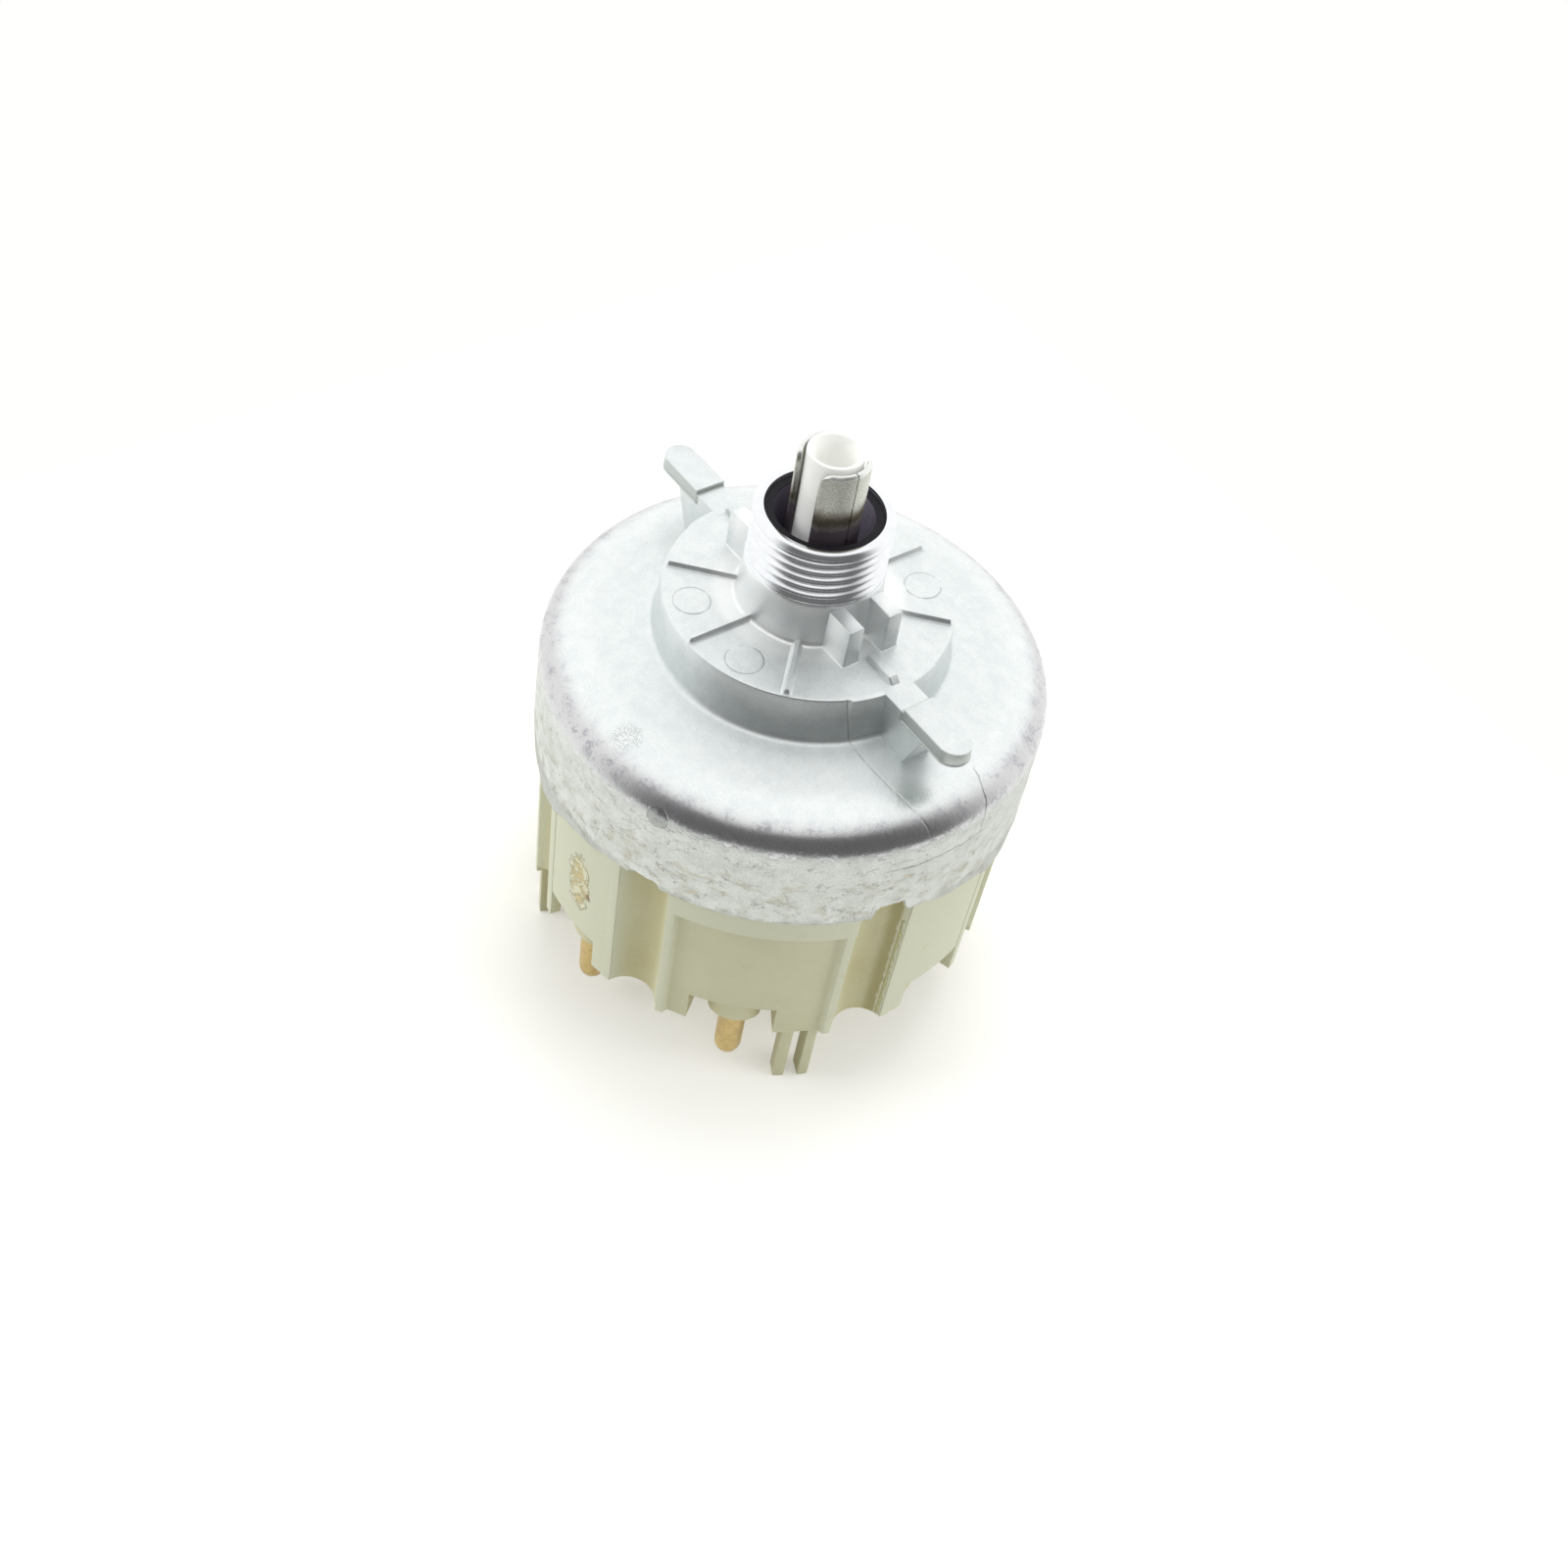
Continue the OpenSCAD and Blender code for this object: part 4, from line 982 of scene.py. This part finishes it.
# %% The arms
ARM_HALF, ARM_REACH, ARM_STEP, ARM_TOP, ARM_UNDER, FLASH = 1.75, 25.0, 17.7, 50.7, 49.0, 0.09
arm = Maker()
tip = [(ARM_REACH - ARM_HALF + x, y) for x, y in (polar(ARM_HALF, a) for a in range(-90, 91, 6))]
arm.prism([(ARM_STEP, -ARM_HALF), *tip, (ARM_STEP, ARM_HALF)], [
    (ARM_UNDER, 0.06), (ARM_UNDER + 0.05, -FLASH), (ARM_UNDER + 0.13, -FLASH), (ARM_UNDER + 0.2, 0.0),
    (ARM_TOP - 0.1, 0.0), (ARM_TOP - 0.03, 0.03), (ARM_TOP, 0.1)])
web = Maker()
WEB_HALF, WEB_TOP = ARM_HALF - 0.02, HUB_TOP_Z + 0.02
side_view = [(13.8, 44.0), (18.9, 44.0), (21.0, ARM_UNDER + 0.2), (21.0, WEB_TOP), (13.8, WEB_TOP)]
web.prism(side_view, [(-WEB_HALF, 0.08), (-WEB_HALF + 0.08, 0.0), (WEB_HALF - 0.08, 0.0), (WEB_HALF, 0.08)])
take(arm, web.mesh("web"), upright)
print("faces: arm", len(arm.faces))

# %% Set everything round the hub
for shape, first_turn, step, count in (
        (rib, 45, 45, 3), (rib, 225, 45, 3), (mark, -112.5, 45, 2), (mark, 67.5, 45, 2),
        (lugs, 0, 180, 2), (bar, 0, 180, 2), (arm, 0, 180, 2)):
    take(casting, set_round(shape, "zinc_casting", first_turn, step, count))
place("cast_housing", casting.mesh("cast_housing", "zinc_casting", "machined_zinc", "shaded_bore"),
      "switch_body", "zinc_casting", "housing")

# %% [markdown]
# ## The moulded base
# Seen from below, the base is one outline of arcs: four panels, eight round flutes and four
# plateaus, with slim ribs between panel and flute. The outline is worked out once for a
# quarter and mirrored. Body, blocks, legs and bosses are all prisms cut from it, with small
# radii on their edges as in a mould that is polished by hand.

# %% The base's outline
PANEL_R, RIB_R, PLATEAU_R = 25.5, 26.2, 26.55
FLUTE_R, FLUTE_AXIS_R = 3.1, 27.5
PANEL_ENDS, PLATEAU_LAND = (18.7, 74.95), 2.2
BASE_INNER_R, FLOOR_Z, FLOOR_TOP = 22.9, 14.5, 17.3


def swept(radius, start, end, step=1.5):
    """Points (radius, turn) along an arc."""
    count = max(1, round(abs(end - start) / step))
    return [(radius, start + (end - start) * k / count) for k in range(count + 1)]


def flute(at, left_r, right_r):
    """Points (radius, turn) round a flute, between two outer radii."""
    def limit(r):
        return math.acos((FLUTE_AXIS_R ** 2 + FLUTE_R ** 2 - r * r) / (2 * FLUTE_AXIS_R * FLUTE_R))
    a, b, points = -limit(left_r), limit(right_r), []
    for k in range(13):
        t = a + (b - a) * k / 12
        x, y = FLUTE_AXIS_R - FLUTE_R * math.cos(t), FLUTE_R * math.sin(t)
        points.append((math.hypot(x, y), at + math.degrees(math.atan2(y, x))))
    return points


def quarter():
    corner_r = PLATEAU_R - 0.12
    first, second = flute(FLUTE_TURNS[0], RIB_R, corner_r), flute(FLUTE_TURNS[1], corner_r, RIB_R)
    points = swept(PANEL_R, 0, PANEL_ENDS[0])
    points += swept(RIB_R, PANEL_ENDS[0] + 0.9, first[0][1])[:-1] + first
    points += swept(PLATEAU_R, first[-1][1] + PLATEAU_LAND, second[0][1] - PLATEAU_LAND) + second
    return points + swept(RIB_R, second[-1][1], PANEL_ENDS[1] - 0.9)[1:] + swept(PANEL_R, PANEL_ENDS[1], 90)


def whole_outline():
    part = quarter()
    half = part + [(r, 180 - a) for r, a in part[-2::-1]]
    return half[:-1] + [(r, a + 180) for r, a in half[:-1]]


outline = whole_outline()
print(len(outline), "points in the base's outline")


# %% Parts of the outline
def cut_outline(start, end):
    """The part of the outline between two turns, closed along the hollow's radius."""
    spots = [(r, a + whole) for whole in (-360, 0) for r, a in outline if start < a + whole < end]
    spots.sort(key=lambda p: p[1])
    outer = [(spots[0][0], start), *spots, (spots[-1][0], end)]
    return [polar(*p) for p in outer + swept(BASE_INNER_R, end, start)]


def sector(inner, outer, start, end):
    return [polar(*p) for p in swept(outer, start, end) + swept(inner, end, start)]


# %% The body's outline and its hollow
PIN_TURN, PIN_CIRCLE_R, PIN_R, TAIL_R, PIN_SEAT_Z = -42.4, 23.3, 1.5, 0.7, 16.0
BODY_MID_Z, CENTRE_HOLE = 22, ((0, 0), 3.9, 3.0)
pin_turns = [PIN_TURN + 45 * k for k in range(8)]


def circle_at(radius, spot=(0, 0), step=15):
    return [(spot[0] + x, spot[1] + y) for x, y in (polar(radius, a) for a in range(0, 360, step))]


EDGE, PIN_GROOVE_R = 0.12, 1.3
body_outline = rounded([polar(*p) for p in outline], EDGE)
pin_spots = [polar(PIN_CIRCLE_R, turn - BASE_TURN) for turn in pin_turns]


def well_outline():
    """The hollow's circle with a small round groove at every pin."""
    points = []
    for turn in range(360):
        off = min(abs(gap_between(turn, pin - BASE_TURN)) for pin in pin_turns)
        across = PIN_GROOVE_R ** 2 - (PIN_CIRCLE_R * math.sin(math.radians(off))) ** 2
        groove = PIN_CIRCLE_R * math.cos(math.radians(off)) + math.sqrt(across) if across > 0 else 0
        points.append(polar(max(BASE_INNER_R, groove), turn))
    return points


well_hole = well_outline()
print(len(body_outline), "points round the body,", len(well_hole), "round its hollow")


# %% Walls, floor and their holes
def raised(maker, flat, z):
    return maker.ring([(x, y, z) for x, y in flat])


base = Maker()
sides = [raised(base, body_outline, z) for z in (FLOOR_Z, BODY_MID_Z, RIM_Z)]
for low, high in zip(sides, sides[1:]):
    base.band(low, high)
well = [raised(base, well_hole, z) for z in (RIM_Z, FLOOR_TOP)]
base.band(*well)
base.lid([sides[-1], well[0]])
under, inside = [sides[0]], [well[1]]
for spot, wide, narrow in [(p, PIN_R, TAIL_R) for p in pin_spots] + [CENTRE_HOLE]:
    hole = [raised(base, circle_at(r, spot), z) for r, z in (
        (wide, FLOOR_Z), (wide, PIN_SEAT_Z), (narrow, PIN_SEAT_Z), (narrow, FLOOR_TOP))]
    for low, high in zip(hole, hole[1:]):
        base.band(low, high)
    under.append(hole[0])
    inside.append(hole[-1])
base.lid(under)
base.lid(inside)
print("faces: body", len(base.faces))

# %% [markdown]
# Below its floor the base is not one wall. Blocks hang under the panels and flutes, with gaps
# between them that only a shallow bridge and a small leg of two posts fill, and thin lips stand
# proud above. Each is a sector of the same outline, so its face always lies in the body's own,
# and one helper softens its lower edge.

# %% What hangs from the base
SKIRT_LOW, RIB_LOW, WINDOW_TOP, JOIN = 10.2, 9.2, 13.4, 0.004
LIP_R, LIP_LOW, PLATEAU_LIP_LOW = 26.62, RIM_Z - 2.9, RIM_Z - 2.3
PANELS, PLATEAUS = ((-21.4, 21.4), (72.25, 107.75)), ((33.9, 59.75), (120.25, 146.1))
CORNER_STRIPS = ((33.9, 36.3), (57.35, 59.75), (120.25, 122.65), (143.7, 146.1))
BLOCKS = ((-40.0, -13.8), (7.6, 40.0), (58.85, 77.2), (95.8, 121.15))
PANEL_BLOCKS = ((-21.4, -13.8), (7.6, 21.4), (72.25, 77.2), (95.8, 107.75))
WINDOWS = ((-14.2, 8.0), (76.8, 96.2))
LEGS, LEG_IN, LEG_POSTS = (10.2, 96.4), 23.35, ((0, 3.0, 25.34), (6.4, 9.1, 25.46))


def hang(flat, low, high, edge=EDGE):
    """A prism whose lower edge is softened."""
    base.prism(rounded(flat, edge), [(low, edge), (low + edge, 0), (high, 0)])


for half in (0, 180):
    for start, end in PANELS:
        hang(sector(24.4, LIP_R, half + start, half + end), LIP_LOW, RIM_Z, 0.08)
    for start, end in PLATEAUS:
        hang(sector(25.4, PLATEAU_R + 0.09, half + start, half + end), PLATEAU_LIP_LOW, RIM_Z, 0.05)
    for start, end in CORNER_STRIPS:
        strip = sector(25.4, PLATEAU_R + 0.07, half + start, half + end)
        hang(strip, SKIRT_LOW, PLATEAU_LIP_LOW + 0.02, 0.05)
    for turns, low, high in (
            (BLOCKS, SKIRT_LOW, FLOOR_Z), (PANEL_BLOCKS, RIB_LOW, SKIRT_LOW + EDGE),
            (WINDOWS, WINDOW_TOP, FLOOR_Z)):
        for start, end in turns:
            hang(cut_outline(half + start, half + end), low, high + JOIN)
    for leg in LEGS:
        for start, end, out in LEG_POSTS:
            hang(sector(LEG_IN, out, half + leg + start, half + leg + end), 0, SKIRT_LOW + 1, 0.18)
print("faces: body and what hangs from it", len(base.faces))

# %% [markdown]
# The collar reaches up inside the casting and centres it, half-round bosses hold the pins, and
# the tower in the middle guides the slider, whose keys run in its two grooves. The grooves face
# along X and don't share the base's own turn, so the tower is added after the base is turned.

# %% Collar, bosses and tower
SPIGOT_R, SPIGOT_TOP, NOTCH_TOP = SKIRT_R - WALL - 0.05, 36.0, RIM_Z + 1.2
BOSS_R, BOSS_LOW, BOSS_FRONT = 2.9, 10.6, 0.72
TOWER_R, TOWER_BORE_R, TOWER_TOP, GROOVE_HALF, GROOVE_FLOOR = 4.1, 3.0, 28.8, 0.5, 3.6
spigot_low = rounded([polar(min(r, SPIGOT_R), a) for r, a in outline], 0.05)
base.prism(spigot_low, [(RIM_Z - 0.5, 0), (NOTCH_TOP, 0)], holes=[well_hole])
base.prism(circle_at(SPIGOT_R - 0.01, step=2), [(NOTCH_TOP - 0.1, 0), (SPIGOT_TOP, 0)], holes=[well_hole])
boss = Maker()
boss_outline = [(PIN_CIRCLE_R + x * (BOSS_FRONT if x > 0 else 1), y) for x, y in circle_at(BOSS_R, step=6)]
boss.prism(boss_outline, [(BOSS_LOW, 0.16), (BOSS_LOW + 0.16, 0.0), (FLOOR_Z + JOIN, 0.0)],
           holes=[circle_at(PIN_R, (PIN_CIRCLE_R, 0))])
turned = Matrix.Rotation(math.radians(BASE_TURN), 4, "Z")
upper = Maker()
take(upper, base.mesh("turned"), turned)
lean = math.degrees(math.asin(GROOVE_HALF / TOWER_R))
tower = []
for side in (1, -1):
    tower += [(side * GROOVE_FLOOR, -side * GROOVE_HALF), (side * GROOVE_FLOOR, side * GROOVE_HALF)]
    first = 90 - side * 90
    tower += [polar(r, a) for r, a in swept(TOWER_R, first + lean, first + 180 - lean)]
upper.prism(tower, [(FLOOR_TOP - 1, 0), (TOWER_TOP, 0)], holes=[circle_at(TOWER_BORE_R, step=6)])
take(upper, set_round(boss, "base_plastic", PIN_TURN, 45, 8))
place("moulded_base", upper.mesh("moulded_base", "base_plastic"), "switch_body",
      "base_plastic", "contact_base")

# %% [markdown]
# ## Terminal pins
# Eight turned brass pins stand on one circle, 45 degrees apart. Two of them end higher than
# the rest. The tree that sets copies round the axis makes each pin as its own piece.

# %% The pins
TIP_Z, SHORT_TIP_Z, SHORT_PINS, PIN_SHANK_R, RIVET_R, RIVET_TOP = 2.5, 6.0, (2, 6), 1.4, 1.2, 18.0
PIN_SIDES = 40


def turned_pin(tip_z):
    tip = [(0, 0), (0.5, 0.06), (0.95, 0.26), (1.28, 0.62), (1.45, 1.1), (PIN_R, 1.6)]
    profile = [(r, tip_z + rise) for r, rise in tip]
    profile += spaced([(PIN_R, tip_z + 1.6), (PIN_R, SKIRT_LOW)], 3)
    profile += spaced([(PIN_SHANK_R, SKIRT_LOW), (PIN_SHANK_R, PIN_SEAT_Z)], 3)
    profile += [(TAIL_R, PIN_SEAT_Z), (TAIL_R, RIVET_TOP - 0.4), (RIVET_R, RIVET_TOP - 0.38)]
    profile += [(RIVET_R - 0.06, RIVET_TOP - 0.05), (0, RIVET_TOP)]
    pin = Maker()
    pin.lathe(profile, PIN_SIDES, closed=False)
    pin.points = [(x + PIN_CIRCLE_R, y, z) for x, y, z in pin.points]
    return pin


for k, turn in enumerate(pin_turns, 1):
    data = set_round(turned_pin(SHORT_TIP_Z if k in SHORT_PINS else TIP_Z), "pin_brass", turn)
    place(f"round_pin_{k}", data, "switch_body", "pin_brass", f"terminal_pin_{k}")

# %% [markdown]
# ## Sleeve and light guide
# The sleeve is rolled from sheet and split into two fingers that spring into the knob. A
# finger is a row of upright slices, each a rectangle with softened corners, and the slices
# near its sides end lower, which rounds the finger's upper corners. The light guide is turned
# smooth, with a soft lip round its funnel.

# %% The sleeve
SLEEVE_R, SLEEVE_IN, SLEEVE_LOW, SPLIT_Z = 3.6, 3.05, 35.0, 52.0
FINGER_HALF, FINGER_CORNER, SEAM_TOP, SEAM_HALF = 60.5, 1.25, 60.0, 2.8
SOFT = 0.09
sleeve = Maker()


def slice_ring(turn, low, high, shrink):
    """One upright slice of a finger, as a closed loop of points."""
    out, back = SLEEVE_R - shrink, SLEEVE_IN + shrink
    low, high = low + shrink, high - shrink
    loop = [(out - SOFT, low), (out, low + SOFT), (out, high - 0.34), (out - 0.05, high - 0.14),
            (out - 0.18, high - 0.02), (out - 0.3, high), (back + SOFT, high - 0.01),
            (back, high - SOFT), (back, low + SOFT), (back + SOFT, low)]
    return sleeve.ring([(*polar(r, turn), z) for r, z in loop])


def finger(middle, has_seam):
    """A finger that may be open along its middle up to the seam's top."""
    degree = 360 / (TURN * SLEEVE_R)
    near_side = [FINGER_HALF - a * degree for a in (0.0, 0.04, 0.12, 0.24, 0.4, 0.6, 0.85, 1.1, 1.3)]
    inner = [k * 4.5 for k in range(9, 0, -1)]
    one_side = near_side + inner + [SEAM_HALF + 0.05, SEAM_HALF]
    rings = []
    for off in one_side + [0.0] + [-a for a in one_side[::-1]]:
        side = (FINGER_HALF - abs(off)) / degree
        short = max(0.0, FINGER_CORNER - side)
        drop = FINGER_CORNER - math.sqrt(max(0.0, FINGER_CORNER ** 2 - short ** 2))
        shrink = max(0.0, SOFT * (1 - side / 0.12))
        low = SEAM_TOP if has_seam and abs(off) <= SEAM_HALF else SPLIT_Z + 0.01
        rings.append(slice_ring(middle + off, low, SLEEVE_TOP - drop, shrink))
    for a, b in zip(rings, rings[1:]):
        sleeve.band(a, b)
    sleeve.lid([rings[0]])
    sleeve.lid([rings[-1]])


finger(0, True)
finger(180, False)
sleeve.lathe([(SLEEVE_R, SLEEVE_LOW), (SLEEVE_R, SPLIT_Z), (SLEEVE_IN, SPLIT_Z), (SLEEVE_IN, SLEEVE_LOW)], 96)
place("split_sleeve", sleeve.mesh("split_sleeve", "sleeve_steel"), "pull_shaft", "sleeve_steel", "shaft_sleeve")

# %% The light guide
guide = Maker()
GUIDE_LOW, GUIDE_TOP, GUIDE_R, GUIDE_BORE, FUNNEL_R, GUIDE_SIDES = 29.0, 68.3, 2.8, 1.9, 2.36, 96
CLIP_R, CLIP_LOW, CLIP_TOP = 2.4, 30.35, 30.95
guide_profile = [(GUIDE_BORE, GUIDE_LOW), (GUIDE_R, GUIDE_LOW), (GUIDE_R, CLIP_LOW),
                 (CLIP_R, CLIP_LOW), (CLIP_R, CLIP_TOP), (GUIDE_R, CLIP_TOP)]
guide_profile += spaced([(GUIDE_R, 31.5), (GUIDE_R, GUIDE_TOP - 0.2)], 4)
for curve in (
        ((GUIDE_R, 0.2), (GUIDE_R, 0), (GUIDE_R - 0.18, 0), 5),
        ((FUNNEL_R + 0.18, 0), (FUNNEL_R + 0.02, 0.03), (FUNNEL_R - 0.06, 0.3), 5),
        ((FUNNEL_R - 0.13, 0.5), (GUIDE_BORE + 0.04, 1.1), (GUIDE_BORE, 2.6), 7)):
    guide_profile += arc_between(*((r, GUIDE_TOP - drop) for r, drop in curve[:3]), curve[3])
guide.lathe(guide_profile + [(GUIDE_BORE, 45.0)], GUIDE_SIDES)
place("milky_guide", guide.mesh("milky_guide", "guide_plastic"), "pull_shaft", "guide_plastic", "light_guide")

# %% [markdown]
# ## What is sealed inside
# The pieces inside keep their exact meshes. Each takes the finish that the record names for
# it, so they look right when the switch is taken apart.

# %% Finish the inner pieces
slots = {part["node"]: part["material_slot"] for part in frame["record"]["subparts"]}
kept = [name for name, node in nodes.items() if not node.hide_render]
for name in kept:
    nodes[name].data.materials.clear()
    nodes[name].data.materials.append(finishes[slots[name]])
print(len(kept), "inner pieces keep their meshes")

# %% [markdown]
# ## Floor, light and camera
# The switch stands on a pale floor in even white light, with large soft boxes overhead and to
# the sides. The side where the camera stands is darker, which is what gives the shoulder its
# dark band. For camera rays the floor also glows a little, so that it reads as white paper
# and still keeps the shadow.

# %% The floor
FLOOR_SIZE, FLOOR_GLOW = 0.22, 0.3


def floor_finish():
    f = Finish("paper")
    fibre = f.noise(30, 3)
    colour = f.mix(fibre, srgb(243, 243, 240), srgb(245, 245, 242))
    paper = f.add("ShaderNodeBsdfDiffuse", inputs={"Color": colour})
    rays = f.add("ShaderNodeLightPath")
    seen = f.highest(rays, f.also(rays, "Is Glossy Ray"), f.also(rays, "Is Transmission Ray"))
    glow = f.add("ShaderNodeEmission", inputs={"Color": (1, 1, 0.985, 1), "Strength": seen * FLOOR_GLOW})
    both = f.add("ShaderNodeAddShader", inputs={0: paper, 1: glow})
    f.add("ShaderNodeOutputMaterial", inputs={"Surface": both})
    return f.material


half = FLOOR_SIZE / 2
floor_mesh = bpy.data.meshes.new("floor")
corners = [(x * half, y * half, 0) for x, y in ((-1, -1), (1, -1), (1, 1), (-1, 1))]
floor_mesh.from_pydata(corners, [], [range(4)])
floor_mesh.materials.append(floor_finish())
floor = bpy.data.objects.new("floor", floor_mesh)
bpy.context.scene.collection.objects.link(floor)
print("floor", FLOOR_SIZE, "m wide")

# %% The room's light
CAMERA_SPOT = Vector((96.02, -91.76, 171.65)) * MM
LOOK_AT = Vector((0.907, 0.949, 21.106)) * MM
ROLL, LENS, SENSOR = 0.199, 41.07, 36.0
ROOM_LEVEL, DIFFUSE_LEVEL = 1.2, 0.45
DARK_TURN, DARK_SIDES, DARK_SHARE = -30, (0.0, 0.6), 0.86
DARK_FOOT, DARK_HEAD = (-0.6, -0.4), (0.76, 0.93)


def room():
    """Even white light that is darker low down on the camera's side."""
    world = bpy.data.worlds.new("room")
    bpy.context.scene.world = world
    world.use_nodes = True
    g = Patterns(world.node_tree)
    g.tree.nodes.clear()
    aim = g.add("ShaderNodeTexCoord", out="Generated")
    flat = g.vector("NORMALIZE", g.vector("MULTIPLY", aim, (1, 1, 0)))
    sides = g.step(g.vector("DOT_PRODUCT", flat, (*polar(1, DARK_TURN), 0)), *DARK_SIDES)
    height = g.also(g.add("ShaderNodeSeparateXYZ", inputs={0: aim}), "Z")
    dark = sides * g.step(height, *DARK_FOOT) * g.fall(height, *DARK_HEAD)
    level = ROOM_LEVEL * (1 - dark * DARK_SHARE)
    rays = g.add("ShaderNodeLightPath")
    level = DIFFUSE_LEVEL + (level - DIFFUSE_LEVEL) * g.also(rays, "Is Glossy Ray")
    sky = g.add("ShaderNodeBackground", inputs={"Color": (1, 1, 0.99, 1), "Strength": g.highest(level, rays)})
    g.add("ShaderNodeOutputWorld", inputs={"Surface": sky})


AIM = Vector((0, 0, 40)) * MM


def soft_box(name, spot, size, power):
    lamp = bpy.data.lights.new(name, "AREA")
    lamp.shape, lamp.size, lamp.energy = "SQUARE", size, power
    box = bpy.data.objects.new(name, lamp)
    box.location = spot
    box.visible_glossy = False
    box.rotation_euler = (AIM - Vector(spot)).to_track_quat("-Z", "Y").to_euler()
    bpy.context.scene.collection.objects.link(box)


room()
soft_box("overhead", (-0.16, 0.2, 0.75), 0.45, 2.6)
soft_box("left_box", (-0.42, -0.52, 0.34), 0.35, 1.9)
soft_box("right_box", (0.5, 0.42, 0.34), 0.35, 1.35)

# %% [markdown]
# The camera stands close and high on one side, rolled a little. Its three axes are worked out
# from where it stands, what it looks at and the roll, which reads more easily than three angles.

# %% The camera
def stand_camera():
    back = (CAMERA_SPOT - LOOK_AT).normalized()
    right = Vector((0, 0, 1)).cross(back).normalized()
    up = back.cross(right)
    rolled = right * math.cos(ROLL) + up * math.sin(ROLL)
    upward = up * math.cos(ROLL) - right * math.sin(ROLL)
    data = bpy.data.cameras.new("camera")
    data.lens, data.sensor_width, data.clip_start = LENS, SENSOR, 0.01
    camera = bpy.data.objects.new("camera", data)
    camera.matrix_world = Matrix((rolled, upward, back)).transposed().to_4x4()
    camera.matrix_world.translation = CAMERA_SPOT
    bpy.context.scene.collection.objects.link(camera)
    bpy.context.scene.camera = camera


stand_camera()
print("camera", round((CAMERA_SPOT - LOOK_AT).length / MM), "mm away, lens", LENS, "mm")
bpy.context.scene.view_settings.view_transform = "Standard"
